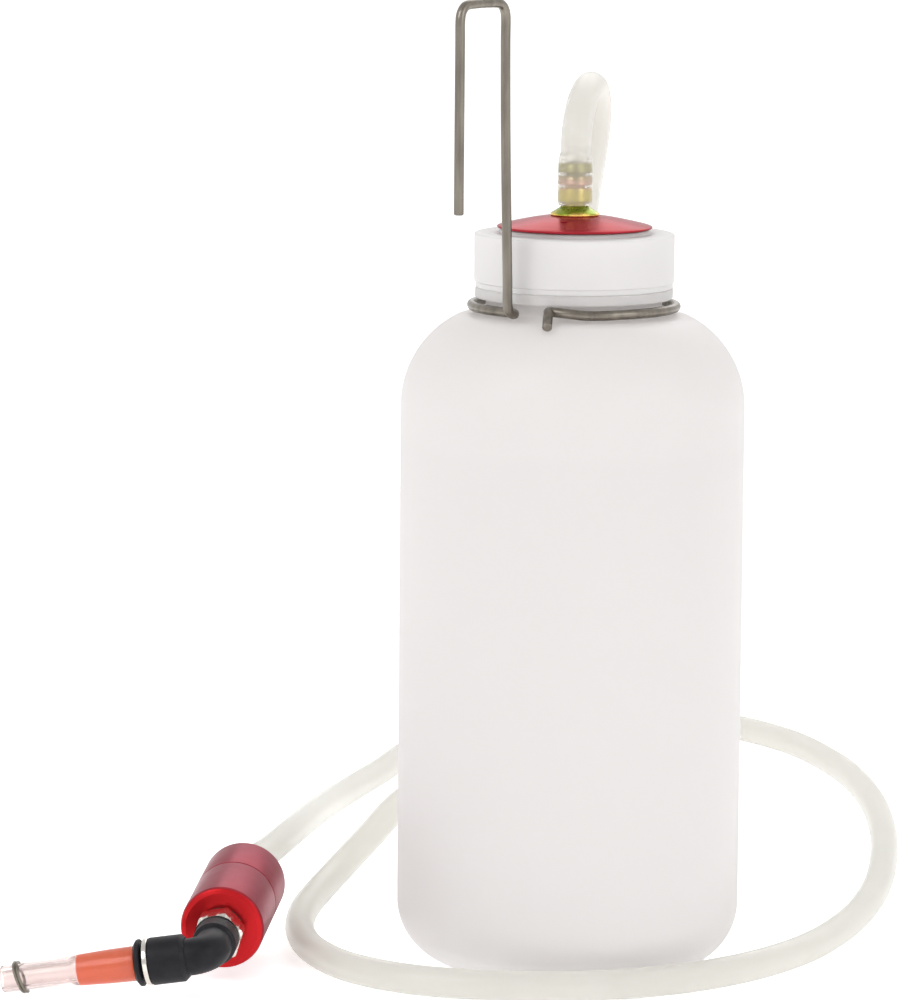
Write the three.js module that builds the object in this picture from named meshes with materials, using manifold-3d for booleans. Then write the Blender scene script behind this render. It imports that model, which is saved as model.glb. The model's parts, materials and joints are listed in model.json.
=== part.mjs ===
// Vacuum collection bottle for bleeding brakes: a one-litre bottle with a screw cap, a wire hanger
// round its neck, a hose from the cap and a one-way valve with an elbow and a nipple hose at its end.
// Millimetres, +Z up. The origin is the centre of the bottle's base, on the surface it stands on.
// The front of the bottle, where the hanger's hook is, faces -Y.

import * as THREE from 'three';
import { mergeVertices } from 'three/addons/utils/BufferGeometryUtils.js';
import Module from 'manifold-3d';

const wasm = await Module();
wasm.setup();

// ---------------------------------------------------------------- driving dimensions

const GAP = 0.3;                 // clearance between pieces that touch
const SIDES = 24;                // facets round a turned piece
const WIDE_SIDES = 32;           // facets round the bottle, the cap and the dome

const BOTTLE_RADIUS = 46;
const BOTTLE_WALL = 1.4;
const BASE_CORNER = 17;          // radius of the rounded bottom edge
const BASE_GROOVE = 0.8;         // depth of the ring groove under the base
const SHOULDER_RADIUS = 27;      // radius of the rounded shoulder, in section
const SHOULDER_START = 151;      // height where the wall starts to turn in
const SHOULDER_END_R = 31;       // the shoulder flattens inside this radius
const NECK_RADIUS = 23.5;
const NECK_BORE = 21.2;
const NECK_FOOT = 176.6;
const BEAD_RADIUS = 26.4;        // the bead that keeps the hanger's ring down
const BEAD_BOTTOM = 180;
const BEAD_TOP = 182.9;
const MOUTH_TOP = 194.2;

const CAP_RADIUS = 26.7;
const CAP_BORE = 25.2;
const CAP_BOTTOM = 183.2;
const CAP_TOP = 197.3;
const CAP_PLATE = 1.6;
const CAP_BOSS = 1.1;            // the raised middle of the cap's top, which the dome sits on
const CAP_BOSS_RADIUS = 19.8;

const THREAD_PITCH = 4;
const THREAD_TURNS = 1.5;
const THREAD_START = 185.2;      // height where the bottle's thread starts
const THREAD_FOOT = 1.6;         // width of the ridge at its foot
const THREAD_CREST = 0.8;
const BOTTLE_THREAD_RADIUS = 24.6;
const CAP_THREAD_RADIUS = 23.9;

const DOME_RADIUS = 20.7;
const DOME_EDGE = 0.5;           // thickness of the dome's rim
const DOME_TOP = 201.9;
const DOME_HUB = 6.8;            // the dome is flat inside this radius
const VENT_RADIUS = 0.9;
const VENT_CIRCLE = 12.5;
const VENT_ANGLES = [-103, 54, 128];         // degrees round the axis from the right
const GASKET_RADIUS = 7.5;

const SHANK_RADIUS = 3;
const SHANK_BOTTOM = 188.5;
const FLANGE_RADIUS = 6.5;
const BARB_BORE = 1.6;
const BARB_RIDGE = 3.5;
const BARB_ROOT = 2.7;
const BARB_TIP = 216;

const HOSE_RADIUS = 4;
const CUFF_RADIUS = 4.6;         // the hose where a barb stretches it
const CUFF_BORE = 3.9;
const CUFF_BOTTOM = 204.7;

const WIRE_RADIUS = 1.3;
const RING_RADIUS = 27.2;        // centre line of the hanger's ring
const RING_HEIGHT = 177.9;
const HOOK_ANGLE = -122.5;       // degrees, the upright plane that the hook lies in
const STEM_RADIUS = 34.4;        // distance of the hook's stem from the bottle's axis, at its top
const STEM_FOOT_RADIUS = 32.2;   // the same at its foot
const HOOK_WIDTH = 21.3;
const HOOK_TOP = 259.6;
const HOOK_TIP = 205.6;
const HOOK_CORNER = 4;

const VALVE_RADIUS = 11.15;
const VALVE_FRONT = [-91.42, -33.81];  // centre of the valve's front face, seen from above
const VALVE_RISE = 3.35;         // the hose and the tube's end hold the valve off the surface
const VALVE_TURN = 4.7;          // degrees, how far the valve points away from -Y
const VALVE_DROOP = 5;           // degrees, nose down
const VALVE_BODY = 24.4;
const VALVE_LENGTH = 44;
const VALVE_BORE = 7.5;
const FRONT_WALL = 4.5;
const SPIGOT_RADIUS = 7.2;
const SPIGOT_START = 18.2;        // leaves the ball its lift of 1.8
const REAR_WALL = 7;
const BALL_RADIUS = 4;
const BALL_CENTRE = 12.1;

const HEX_FLATS = 12.2;
const HEX_FRONT = -8.3;
const HEX_TURN = 47.4;           // degrees, of one corner, from the side up
const STUD_RADIUS = 4.9;
const STUD_BORE = 2.4;
const SWIVEL_RADIUS = 3.6;

const ELBOW_DISTANCE = 23;       // from the valve's front face to the elbow's corner
const ELBOW_TURN = -8.8;         // degrees, how far the elbow's mouth is swivelled up
const LEG_RADIUS = 4.9;
const COLLAR_RADIUS = 5.85;
const MOUTH_RADIUS = 6.25;
const MOUTH_START = 5.6;         // from here on, distances are from the elbow's corner
const MOUTH_END = 15.3;

const TUBE_RADIUS = 3.2;
const TUBE_BORE = 2.1;
const TUBE_START = 6.6;
const TUBE_END = 34.9;
const SLEEVE_START = 19.6;
const SLEEVE_END = 55.3;
const SLEEVE_WIDE = 4.65;        // outer radius where the tube inside stretches the sleeve
const SLEEVE_RADIUS = 3.55;
const SLEEVE_BORE = 2.2;
const CLAMP_PLACE = 50.1;
const CLAMP_WIRE = 0.4;

// The hose's route, chosen by hand: up from the cap, over behind it, down the back of the bottle,
// and in one loose turn round the bottle on the floor to the rear of the valve.
const HOSE_RISER_ROUTE = [
  [0, 0, 216.3], [0, 0, 219.5], [0.3, 1.6, 224.4], [1.2, 6.6, 230], [2.6, 14.5, 233.6], [4, 24, 234.7],
  [5.2, 34, 232.4], [5.7, 43, 225.8], [4.7, 49.5, 215], [2.6, 53.5, 200], [1.7, 56.5, 180],
  [1.8, 59, 155], [2, 61.5, 130],
];
const HOSE_FLOOR_ROUTE = [
  [1.98, 61.53, 129.7], [0.4, 64.8, 104], [-4.5, 70.5, 78], [-15, 80, 56], [-31, 88.5, 38],
  [-49.3, 90, 23.9], [-56, 89, 16.4], [-61.6, 85, 10.8], [-66.6, 75, 6.8], [-70, 63, 4.9],
  [-72.4, 49, 4.1], [-73.4, 34, 4.1],
  [-72.6, 11, 4], [-67.6, -12, 4], [-57, -32, 4], [-40, -45.5, 4], [-19, -51, 4],
  [4, -50.5, 4], [27, -42, 4], [47, -26, 4], [64, -2, 4], [77, 31, 4],
  [86.5, 73, 4], [92, 120, 4], [94.3, 170, 4], [92.5, 225, 4], [84.5, 276, 4],
  [68, 322, 4], [42, 352, 4], [8, 361, 4], [-24, 342, 4], [-47, 302, 4],
  [-59.4, 253, 4], [-64.9, 230.8, 4.2], [-69.9, 202.8, 5.6], [-73.9, 154.8, 10.6], [-77.2, 102.4, 16.1],
  [-78.8, 74, 19.1], [-82.6, 44.3, 20.4], [-86.1, 30.5, 20.1],
];

// ---------------------------------------------------------------- materials

const finish = (color, roughness, metalness = 0) =>
  new THREE.MeshStandardMaterial({ color, roughness, metalness });

const MILKY_PLASTIC = finish(0xeeecea, 0.42);
const WHITE_PLASTIC = finish(0xf2f0ee, 0.45);
const RED_METAL = finish(0xc0202a, 0.3, 0.85);
const YELLOW_ZINC = finish(0xc9b24a, 0.3, 0.9);
const STEEL_WIRE = finish(0x8c857a, 0.4, 0.9);
const NICKEL = finish(0xc9c5bb, 0.25, 0.95);
const BLACK_PLASTIC = finish(0x2a2a2d, 0.5);
const BLACK_RUBBER = finish(0x1c1c1e, 0.85);
const CLEAR_HOSE = finish(0xe9e8e0, 0.35);
const CLEAR_SLEEVE = finish(0xe6e0dc, 0.3);
const ORANGE_PLASTIC = finish(0xff7e55, 0.4);

// ---------------------------------------------------------------- making and joining solids

const radians = THREE.MathUtils.degToRad;

// One closed body with merged corners, no flat triangles, and its faces pointing out.
function tidy(geometry) {
  geometry.deleteAttribute('normal');
  geometry.deleteAttribute('uv');
  const merged = mergeVertices(geometry, 1e-4);
  const corners = merged.index.array;
  const point = merged.attributes.position;
  const kept = [];
  let volume = 0;
  for (let i = 0; i < corners.length; i += 3) {
    const [a, b, c] = [corners[i], corners[i + 1], corners[i + 2]];
    if (a === b || b === c || c === a) continue;
    kept.push(a, b, c);
    const [p, q, r] = [a, b, c].map((k) => new THREE.Vector3().fromBufferAttribute(point, k));
    volume += p.dot(q.cross(r));
  }
  if (volume < 0) kept.reverse();
  merged.setIndex(kept);
  return merged;
}

function solid(geometry) {
  const clean = tidy(geometry);
  return new wasm.Manifold(new wasm.Mesh({
    numProp: 3,
    vertProperties: new Float32Array(clean.attributes.position.array),
    triVerts: new Uint32Array(clean.index.array),
  }));
}

function geometryOf(manifold) {
  const mesh = manifold.getMesh();
  const geometry = new THREE.BufferGeometry();
  geometry.setAttribute('position', new THREE.BufferAttribute(mesh.vertProperties, 3));
  geometry.setIndex(new THREE.BufferAttribute(mesh.triVerts, 1));
  return geometry;
}

const joined = (...parts) => parts.map(solid).reduce((whole, part) => whole.add(part));
const cut = (body, ...tools) =>
  geometryOf(tools.map(solid).reduce((left, tool) => left.subtract(tool), body));

// A turned piece about Z. A profile is a list of [radius, height]; one that leaves the axis open
// in the middle closes on itself.
function turned(profile, sides = SIDES) {
  const onAxis = profile[0][0] === 0 && profile.at(-1)[0] === 0;
  const outline = onAxis ? profile : [...profile, profile[0]];
  const points = outline.map(([r, z]) => new THREE.Vector2(r, z));
  return tidy(new THREE.LatheGeometry(points, sides).rotateX(Math.PI / 2));
}

const ring = (inner, outer, bottom, top, sides = SIDES) =>
  turned([[inner, bottom], [outer, bottom], [outer, top], [inner, top]], sides);

const disc = (radius, bottom, top, sides = SIDES) =>
  turned([[0, bottom], [radius, bottom], [radius, top], [0, top]], sides);

// Points of an arc in a profile, from one angle to another in degrees.
function arc(centreR, centreZ, radius, from, to, steps) {
  return Array.from({ length: steps + 1 }, (_, i) => {
    const angle = radians(from + ((to - from) * i) / steps);
    return [centreR + radius * Math.cos(angle), centreZ + radius * Math.sin(angle)];
  });
}

function polygon(radius, sides) {
  const points = Array.from({ length: sides }, (_, i) => {
    const angle = (2 * Math.PI * i) / sides;
    return new THREE.Vector2(radius * Math.cos(angle), radius * Math.sin(angle));
  });
  return new THREE.Shape(points);
}

// A round bar of constant section along a curve.
function bar(curve, radius, steps, sides = 8) {
  return tidy(new THREE.ExtrudeGeometry(polygon(radius, sides), {
    steps, bevelEnabled: false, extrudePath: curve,
  }));
}

const smooth = (points) =>
  new THREE.CatmullRomCurve3(points.map((p) => new THREE.Vector3(...p)), false, 'centripetal');

// A hexagonal prism along Z with a round hole through it.
function nut(flats, hole, bottom, top) {
  const outline = polygon(flats / Math.sqrt(3), 6);
  const prism = new THREE.ExtrudeGeometry(outline, { depth: top - bottom, bevelEnabled: false });
  prism.translate(0, 0, bottom);
  return cut(solid(prism), disc(hole, bottom - 1, top + 1));
}

// A screw thread's ridge about Z: a trapezoid section that climbs one pitch a turn and fades in
// and out at its ends. foot and crest are radii, and turn is where it starts, in turns.
function threadRidge(foot, crest, turn) {
  const perTurn = 24;
  const steps = Math.round(THREAD_TURNS * perTurn);
  const points = [];
  for (let i = 0; i <= steps; i += 1) {
    const angle = 2 * Math.PI * (turn + i / perTurn);
    const middle = THREAD_START + THREAD_PITCH * (i / perTurn);
    const fade = Math.min(1, i / 2, (steps - i) / 2) * 0.9 + 0.1;
    const reach = foot + (crest - foot) * fade;
    const section = [
      [foot, -THREAD_FOOT / 2], [reach, -THREAD_CREST / 2],
      [reach, THREAD_CREST / 2], [foot, THREAD_FOOT / 2],
    ];
    for (const [r, z] of section) points.push(r * Math.cos(angle), r * Math.sin(angle), middle + z);
  }
  const index = [0, 1, 2, 0, 2, 3];
  for (let i = 0; i < steps; i += 1) {
    for (let k = 0; k < 4; k += 1) {
      const a = 4 * i + k;
      const b = 4 * i + ((k + 1) % 4);
      index.push(a, a + 4, b + 4, a, b + 4, b);
    }
  }
  const last = 4 * steps;
  index.push(last, last + 2, last + 1, last, last + 3, last + 2);
  const geometry = new THREE.BufferGeometry();
  geometry.setAttribute('position', new THREE.Float32BufferAttribute(points, 3));
  geometry.setIndex(index);
  return geometry;
}

// ---------------------------------------------------------------- placing pieces

const group = new THREE.Group();

function place(name, geometry, material, parent = group) {
  const mesh = new THREE.Mesh(geometry, material);
  mesh.name = name;
  parent.add(mesh);
}

// The valve's own frame: its origin is the centre of the valve's front face, +Z is the way the
// fluid flows, towards the hose, +Y is up and +X points away from the bottle.
function valveMatrix() {
  const turn = radians(VALVE_TURN);
  const droop = radians(VALVE_DROOP);
  const flow = new THREE.Vector3(
    Math.sin(turn) * Math.cos(droop), Math.cos(turn) * Math.cos(droop), Math.sin(droop),
  );
  const side = new THREE.Vector3(-Math.cos(turn), Math.sin(turn), 0);
  const up = new THREE.Vector3().crossVectors(flow, side);
  const height = VALVE_RADIUS * Math.cos(droop) + VALVE_RISE;
  return new THREE.Matrix4().makeBasis(side, up, flow).setPosition(...VALVE_FRONT, height);
}

// The elbow's mouth in the valve's frame: square to the stud's axis, +Z out of the mouth.
function mouthMatrix() {
  const turn = radians(ELBOW_TURN);
  const out = new THREE.Vector3(Math.cos(turn), Math.sin(turn), 0);
  const across = new THREE.Vector3(-Math.sin(turn), Math.cos(turn), 0);
  const third = new THREE.Vector3().crossVectors(across, out);
  return new THREE.Matrix4().makeBasis(third, across, out).setPosition(0, 0, -ELBOW_DISTANCE);
}

function frameGroup(matrix, parent) {
  const frame = new THREE.Group();
  frame.applyMatrix4(matrix);
  parent.add(frame);
  return frame;
}

// ---------------------------------------------------------------- bottle and cap

function bottle() {
  const R = BOTTLE_RADIUS;
  const w = BOTTLE_WALL;
  const shoulderCentre = R - SHOULDER_RADIUS;
  const shoulderTurn = Math.acos((SHOULDER_END_R - shoulderCentre) / SHOULDER_RADIUS);
  const shoulderAngle = THREE.MathUtils.radToDeg(shoulderTurn);
  const innerAngle = shoulderAngle - 4;
  const grooveIn = 18;
  const grooveOut = 24;
  const profile = [
    [0, 0], [grooveIn, 0], [grooveIn + 1, BASE_GROOVE], [grooveOut - 1, BASE_GROOVE], [grooveOut, 0],
    ...arc(R - BASE_CORNER, BASE_CORNER, BASE_CORNER, -90, 0, 5),
    ...arc(shoulderCentre, SHOULDER_START, SHOULDER_RADIUS, 0, shoulderAngle, 6),
    [NECK_RADIUS + 1, NECK_FOOT - 0.4], [NECK_RADIUS, NECK_FOOT + 0.4],
    [NECK_RADIUS, BEAD_BOTTOM], [BEAD_RADIUS - 0.5, BEAD_BOTTOM], [BEAD_RADIUS, BEAD_BOTTOM + 0.5],
    [BEAD_RADIUS, BEAD_TOP - 0.5], [BEAD_RADIUS - 0.5, BEAD_TOP], [NECK_RADIUS, BEAD_TOP],
    [NECK_RADIUS, MOUTH_TOP - 0.4], [NECK_RADIUS - 0.4, MOUTH_TOP], [NECK_BORE, MOUTH_TOP],
    [NECK_BORE, NECK_FOOT - w - 0.6],
    ...arc(shoulderCentre, SHOULDER_START, SHOULDER_RADIUS - w, innerAngle, 0, 4),
    ...arc(R - BASE_CORNER, BASE_CORNER + w, BASE_CORNER - w, 0, -90, 3),
    [0, 2 * w],
  ];
  const ridge = threadRidge(NECK_RADIUS - 0.6, BOTTLE_THREAD_RADIUS, 0);
  return geometryOf(joined(turned(profile, WIDE_SIDES), ridge));
}

function screwCap() {
  const under = CAP_TOP - CAP_PLATE;
  const profile = [
    [SHANK_RADIUS + 0.4, under], [CAP_BORE, under], [CAP_BORE, CAP_BOTTOM + 0.4],
    [CAP_BORE + 0.4, CAP_BOTTOM], [CAP_RADIUS - 0.5, CAP_BOTTOM], [CAP_RADIUS, CAP_BOTTOM + 0.6],
    [CAP_RADIUS, CAP_TOP - 1], [CAP_RADIUS - 0.3, CAP_TOP - 0.3], [CAP_RADIUS - 1, CAP_TOP],
    [CAP_BOSS_RADIUS + 0.3, CAP_TOP], [CAP_BOSS_RADIUS, CAP_TOP + CAP_BOSS],
    [SHANK_RADIUS + 0.4, CAP_TOP + CAP_BOSS],
  ];
  const ridge = threadRidge(CAP_BORE + 0.4, CAP_THREAD_RADIUS, 0.5);
  return geometryOf(joined(turned(profile, WIDE_SIDES), ridge));
}

place('bottle', bottle(), MILKY_PLASTIC);
place('screw_cap', screwCap(), WHITE_PLASTIC);

const LINER_BORE = 7.7;
const LINER_TOP = CAP_TOP - CAP_PLATE - GAP;
place('cap_liner', ring(LINER_BORE, CAP_BORE - 0.8, MOUTH_TOP + 0.4, LINER_TOP), CLEAR_SLEEVE);

// ---------------------------------------------------------------- dome and hose barb on the cap

const DOME_FOOT = CAP_TOP + CAP_BOSS + GAP;

// Height of the dome's top at a distance from its axis: flat in the middle, then ever steeper.
function domeHeight(radius) {
  const part = Math.max(0, radius - DOME_HUB) / (DOME_RADIUS - DOME_HUB);
  return DOME_TOP - (DOME_TOP - DOME_FOOT - DOME_EDGE) * part ** 1.3;
}

function ventDome() {
  const rimTop = DOME_FOOT + DOME_EDGE;
  const recess = 0.6;
  const slope = Array.from({ length: 6 }, (_, i) => {
    const radius = DOME_RADIUS - 1 + ((DOME_HUB - DOME_RADIUS + 1) * i) / 5;
    return [radius, domeHeight(radius)];
  });
  const profile = [
    [SHANK_RADIUS + 0.4, DOME_FOOT + recess], [DOME_RADIUS - 2.4, DOME_FOOT + recess],
    [DOME_RADIUS - 2.2, DOME_FOOT], [DOME_RADIUS - 0.2, DOME_FOOT], [DOME_RADIUS, DOME_FOOT + 0.2],
    [DOME_RADIUS, rimTop - 0.2], [DOME_RADIUS - 0.2, rimTop], ...slope,
    [SHANK_RADIUS + 0.4, DOME_TOP],
  ];
  const vents = VENT_ANGLES.map((degrees) => {
    const angle = radians(degrees);
    const drill = disc(VENT_RADIUS, DOME_FOOT - 1, DOME_TOP + 1, 8);
    return drill.translate(VENT_CIRCLE * Math.cos(angle), VENT_CIRCLE * Math.sin(angle), 0);
  });
  return cut(solid(turned(profile, WIDE_SIDES)), ...vents);
}

// The ridges of a hose barb in its profile, given the height of each ridge's widest place.
const barbRidges = (feet) => feet.flatMap((foot) => [
  [BARB_ROOT, foot - 0.6], [BARB_RIDGE, foot], [BARB_RIDGE - 0.1, foot + 0.5], [BARB_ROOT, foot + 2.4],
]);

function hoseBarb() {
  const seat = DOME_TOP + GAP;
  const profile = [
    [BARB_BORE, SHANK_BOTTOM], [SHANK_RADIUS - 0.4, SHANK_BOTTOM], [SHANK_RADIUS, SHANK_BOTTOM + 0.4],
    [SHANK_RADIUS, seat], [FLANGE_RADIUS - 0.2, seat], [FLANGE_RADIUS, seat + 0.2],
    [FLANGE_RADIUS, seat + 0.5], [BARB_RIDGE + 0.6, seat + 1.5], [BARB_RIDGE + 0.1, seat + 1.9],
    [BARB_ROOT, seat + 2],
    ...barbRidges([205.6, 210, 213.3]), [BARB_ROOT - 0.3, BARB_TIP], [BARB_BORE, BARB_TIP],
  ];
  return turned(profile, 16);
}

place('vent_dome', ventDome(), RED_METAL);
place('dome_gasket', ring(SHANK_RADIUS + 1, GASKET_RADIUS, DOME_FOOT, DOME_FOOT + 0.3), BLACK_RUBBER);
place('hose_barb', hoseBarb(), YELLOW_ZINC);
place('barb_washer', ring(SHANK_RADIUS + GAP, FLANGE_RADIUS + 0.2, 194.5, 195.4), NICKEL);
place('barb_nut', nut(10, SHANK_RADIUS + GAP, 190.2, 194.2), NICKEL);
place('barb_cuff', ring(CUFF_BORE, CUFF_RADIUS, CUFF_BOTTOM, BARB_TIP), CLEAR_HOSE);

// ---------------------------------------------------------------- hose

const length = (route) => smooth(route).getLength();
const hoseSteps = (route) => Math.ceil(length(route) / (2.4 * 2 * HOSE_RADIUS));

place('hose_riser', bar(smooth(HOSE_RISER_ROUTE), HOSE_RADIUS, hoseSteps(HOSE_RISER_ROUTE)), CLEAR_HOSE);

// ---------------------------------------------------------------- hanger

// A point given by its distance from the bottle's axis, its angle in degrees and its height.
const around = (radius, angle, height) =>
  [radius * Math.cos(radians(angle)), radius * Math.sin(radians(angle)), height];

// A rounded corner of the hook, from the outside arm over to the stem.
function hookCorner(centreRadius, from, to) {
  return arc(centreRadius, HOOK_TOP - HOOK_CORNER, HOOK_CORNER, from, to, 4)
    .map(([radius, height]) => around(radius, HOOK_ANGLE, height));
}

// The wire from the hook's tip over to the stem, down to a tight fold, once round the neck the long
// way, and out over the shoulder in a short leg beside the fold.
function hangerHook() {
  const arm = STEM_RADIUS + HOOK_WIDTH;
  const ringStart = HOOK_ANGLE - 10;
  const ringEnd = -104;
  const ringSpan = ringStart + 360 - ringEnd;
  const rise = 0.8;
  const ringPoints = Array.from({ length: 33 }, (_, i) => {
    const toEnd = (ringSpan * (32 - i)) / 32;
    const lift = rise * Math.max(0, 1 - toEnd / 24) - 0.2 * Math.exp(-(((toEnd - 24) / 10) ** 2));
    return around(RING_RADIUS, ringEnd + toEnd, RING_HEIGHT + lift);
  });
  const points = [
    around(arm, HOOK_ANGLE, HOOK_TIP), around(arm, HOOK_ANGLE, 228),
    around(arm, HOOK_ANGLE, HOOK_TOP - HOOK_CORNER - 6),
    ...hookCorner(arm - HOOK_CORNER, 0, 90),
    ...hookCorner(STEM_RADIUS + HOOK_CORNER, 90, 180),
    around(STEM_RADIUS, HOOK_ANGLE, HOOK_TOP - HOOK_CORNER - 6),
    around(STEM_RADIUS - 0.4, HOOK_ANGLE, 228), around(STEM_RADIUS - 1.2, HOOK_ANGLE, 205),
    around(STEM_FOOT_RADIUS + 0.2, HOOK_ANGLE, 186),
    around(STEM_FOOT_RADIUS, HOOK_ANGLE, RING_HEIGHT + 2.6),
    around(STEM_FOOT_RADIUS - 0.6, HOOK_ANGLE + 0.3, RING_HEIGHT + 0.7),
    around(STEM_FOOT_RADIUS - 2.2, HOOK_ANGLE + 0.6, RING_HEIGHT),
    around(RING_RADIUS + 1.5, HOOK_ANGLE - 0.4, RING_HEIGHT),
    around(RING_RADIUS + 0.4, HOOK_ANGLE - 3.6, RING_HEIGHT),
    ...ringPoints,
    around(RING_RADIUS + 1.4, ringEnd + 0.8, RING_HEIGHT + rise - 0.1),
    around(RING_RADIUS + 3.8, ringEnd + 1.4, RING_HEIGHT - 0.6),
    around(RING_RADIUS + 7.5, ringEnd + 2.5, RING_HEIGHT - 2.6),
  ];
  return bar(smooth(points), WIRE_RADIUS, 118, 6);
}

place('hanger', hangerHook(), STEEL_WIRE);

// ---------------------------------------------------------------- one-way valve

const valve = frameGroup(valveMatrix(), group);

function valveBody() {
  const profile = [
    [STUD_RADIUS + GAP, 0], [VALVE_RADIUS - 1.6, 0], [VALVE_RADIUS - 0.5, 0.4], [VALVE_RADIUS, 1.2],
    [VALVE_RADIUS, VALVE_BODY - 0.3], [VALVE_RADIUS - 0.3, VALVE_BODY], [VALVE_BORE, VALVE_BODY],
    [VALVE_BORE, FRONT_WALL], [STUD_RADIUS + GAP, FRONT_WALL],
  ];
  return turned(profile, 28);
}

const SEAL_GROOVE = 20.2;        // start of the groove in the valve cap's spigot
const BARB_HOLE = 3.3;

function valveCap() {
  const start = VALVE_BODY + GAP;
  const floor = VALVE_LENGTH - REAR_WALL;
  const inner = 4.9;
  const profile = [
    [inner, SPIGOT_START], [SPIGOT_RADIUS, SPIGOT_START], [SPIGOT_RADIUS, SEAL_GROOVE],
    [SPIGOT_RADIUS - 1.2, SEAL_GROOVE], [SPIGOT_RADIUS - 1.2, SEAL_GROOVE + 1.6],
    [SPIGOT_RADIUS, SEAL_GROOVE + 1.6], [SPIGOT_RADIUS, start],
    [VALVE_RADIUS - 0.3, start], [VALVE_RADIUS, start + 0.3], [VALVE_RADIUS, VALVE_LENGTH - 0.8],
    [VALVE_RADIUS - 0.8, VALVE_LENGTH], [BARB_HOLE, VALVE_LENGTH], [BARB_HOLE, floor], [inner, floor],
  ];
  return turned(profile, 28);
}

// A ring of round section, such as an O-ring, about Z.
function oRing(radius, section, height, parts = 6, sides = 20) {
  return turned(arc(radius, height, section, 0, 360, parts).slice(0, -1), sides);
}

function valveSeat() {
  const profile = [
    [2.6, FRONT_WALL + GAP], [VALVE_BORE - GAP, FRONT_WALL + GAP], [VALVE_BORE - GAP, 11],
    [4.6, 11], [2.6, 8.6],
  ];
  return turned(profile);
}

function springCurve(radius, from, to, turns) {
  const points = [];
  const perTurn = 10;
  for (let i = 0; i <= turns * perTurn; i += 1) {
    const angle = (2 * Math.PI * i) / perTurn;
    const height = from + ((to - from) * i) / (turns * perTurn);
    points.push([radius * Math.cos(angle), radius * Math.sin(angle), height]);
  }
  return smooth(points);
}

function outletBarb() {
  const tip = VALVE_LENGTH + 14;
  const root = VALVE_LENGTH + 0.8;
  const profile = [
    [BARB_BORE, 38.5], [SHANK_RADIUS, 38.5], [SHANK_RADIUS, VALVE_LENGTH],
    ...barbRidges([root + 1.6, root + 5.6, root + 9.6]), [BARB_ROOT - 0.3, tip], [BARB_BORE, tip],
  ];
  return turned(profile, 16);
}

const valveBall = () => tidy(new THREE.SphereGeometry(BALL_RADIUS, 16, 10).translate(0, 0, BALL_CENTRE));
const springFrom = BALL_CENTRE + BALL_RADIUS - 0.9;
const springTo = VALVE_LENGTH - REAR_WALL - 0.8;

place('valve_body', valveBody(), RED_METAL, valve);
place('valve_cap', valveCap(), RED_METAL, valve);
place('valve_oring', oRing(SPIGOT_RADIUS - 0.48, 0.42, SEAL_GROOVE + 0.8), BLACK_RUBBER, valve);
place('valve_seat', valveSeat(), NICKEL, valve);
place('valve_ball', valveBall(), NICKEL, valve);
place('valve_spring', bar(springCurve(3.6, springFrom + 0.9, springTo, 5), 0.3, 50, 5), STEEL_WIRE, valve);
place('outlet_barb', outletBarb(), YELLOW_ZINC, valve);
place('outlet_cuff', ring(CUFF_BORE, CUFF_RADIUS, VALVE_LENGTH + GAP, VALVE_LENGTH + 14), CLEAR_HOSE, valve);

// The floor stretch of the hose ends on the valve's axis, just past the barb's cuff.
const hoseEnd = new THREE.Vector3(0, 0, VALVE_LENGTH + 14 + GAP).applyMatrix4(valveMatrix());
const floorRoute = [...HOSE_FLOOR_ROUTE, hoseEnd.toArray()];
place('hose_floor', bar(smooth(floorRoute), HOSE_RADIUS, hoseSteps(floorRoute)), CLEAR_HOSE);

// ---------------------------------------------------------------- stud and elbow

const SWIVEL_END = -16.6;
const SWIVEL_GROOVE = -13.6;
const SOCKET_RADIUS = MOUTH_RADIUS - 1.2;
const SOCKET_DEPTH = 6.4;

function stud() {
  const shank = [
    [STUD_BORE, SWIVEL_END], [SWIVEL_RADIUS, SWIVEL_END], [SWIVEL_RADIUS, SWIVEL_GROOVE - 1.4],
    [SWIVEL_RADIUS - 0.8, SWIVEL_GROOVE - 1.4], [SWIVEL_RADIUS - 0.8, SWIVEL_GROOVE],
    [SWIVEL_RADIUS, SWIVEL_GROOVE], [SWIVEL_RADIUS, HEX_FRONT + 0.5], [STUD_RADIUS, HEX_FRONT + 0.5],
    [STUD_RADIUS, FRONT_WALL - 0.3], [STUD_BORE, FRONT_WALL - 0.3],
  ];
  const hexagon = nut(HEX_FLATS, STUD_BORE + 0.5, HEX_FRONT, -1.7).rotateZ(radians(HEX_TURN));
  return geometryOf(joined(turned(shank), hexagon));
}

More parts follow.
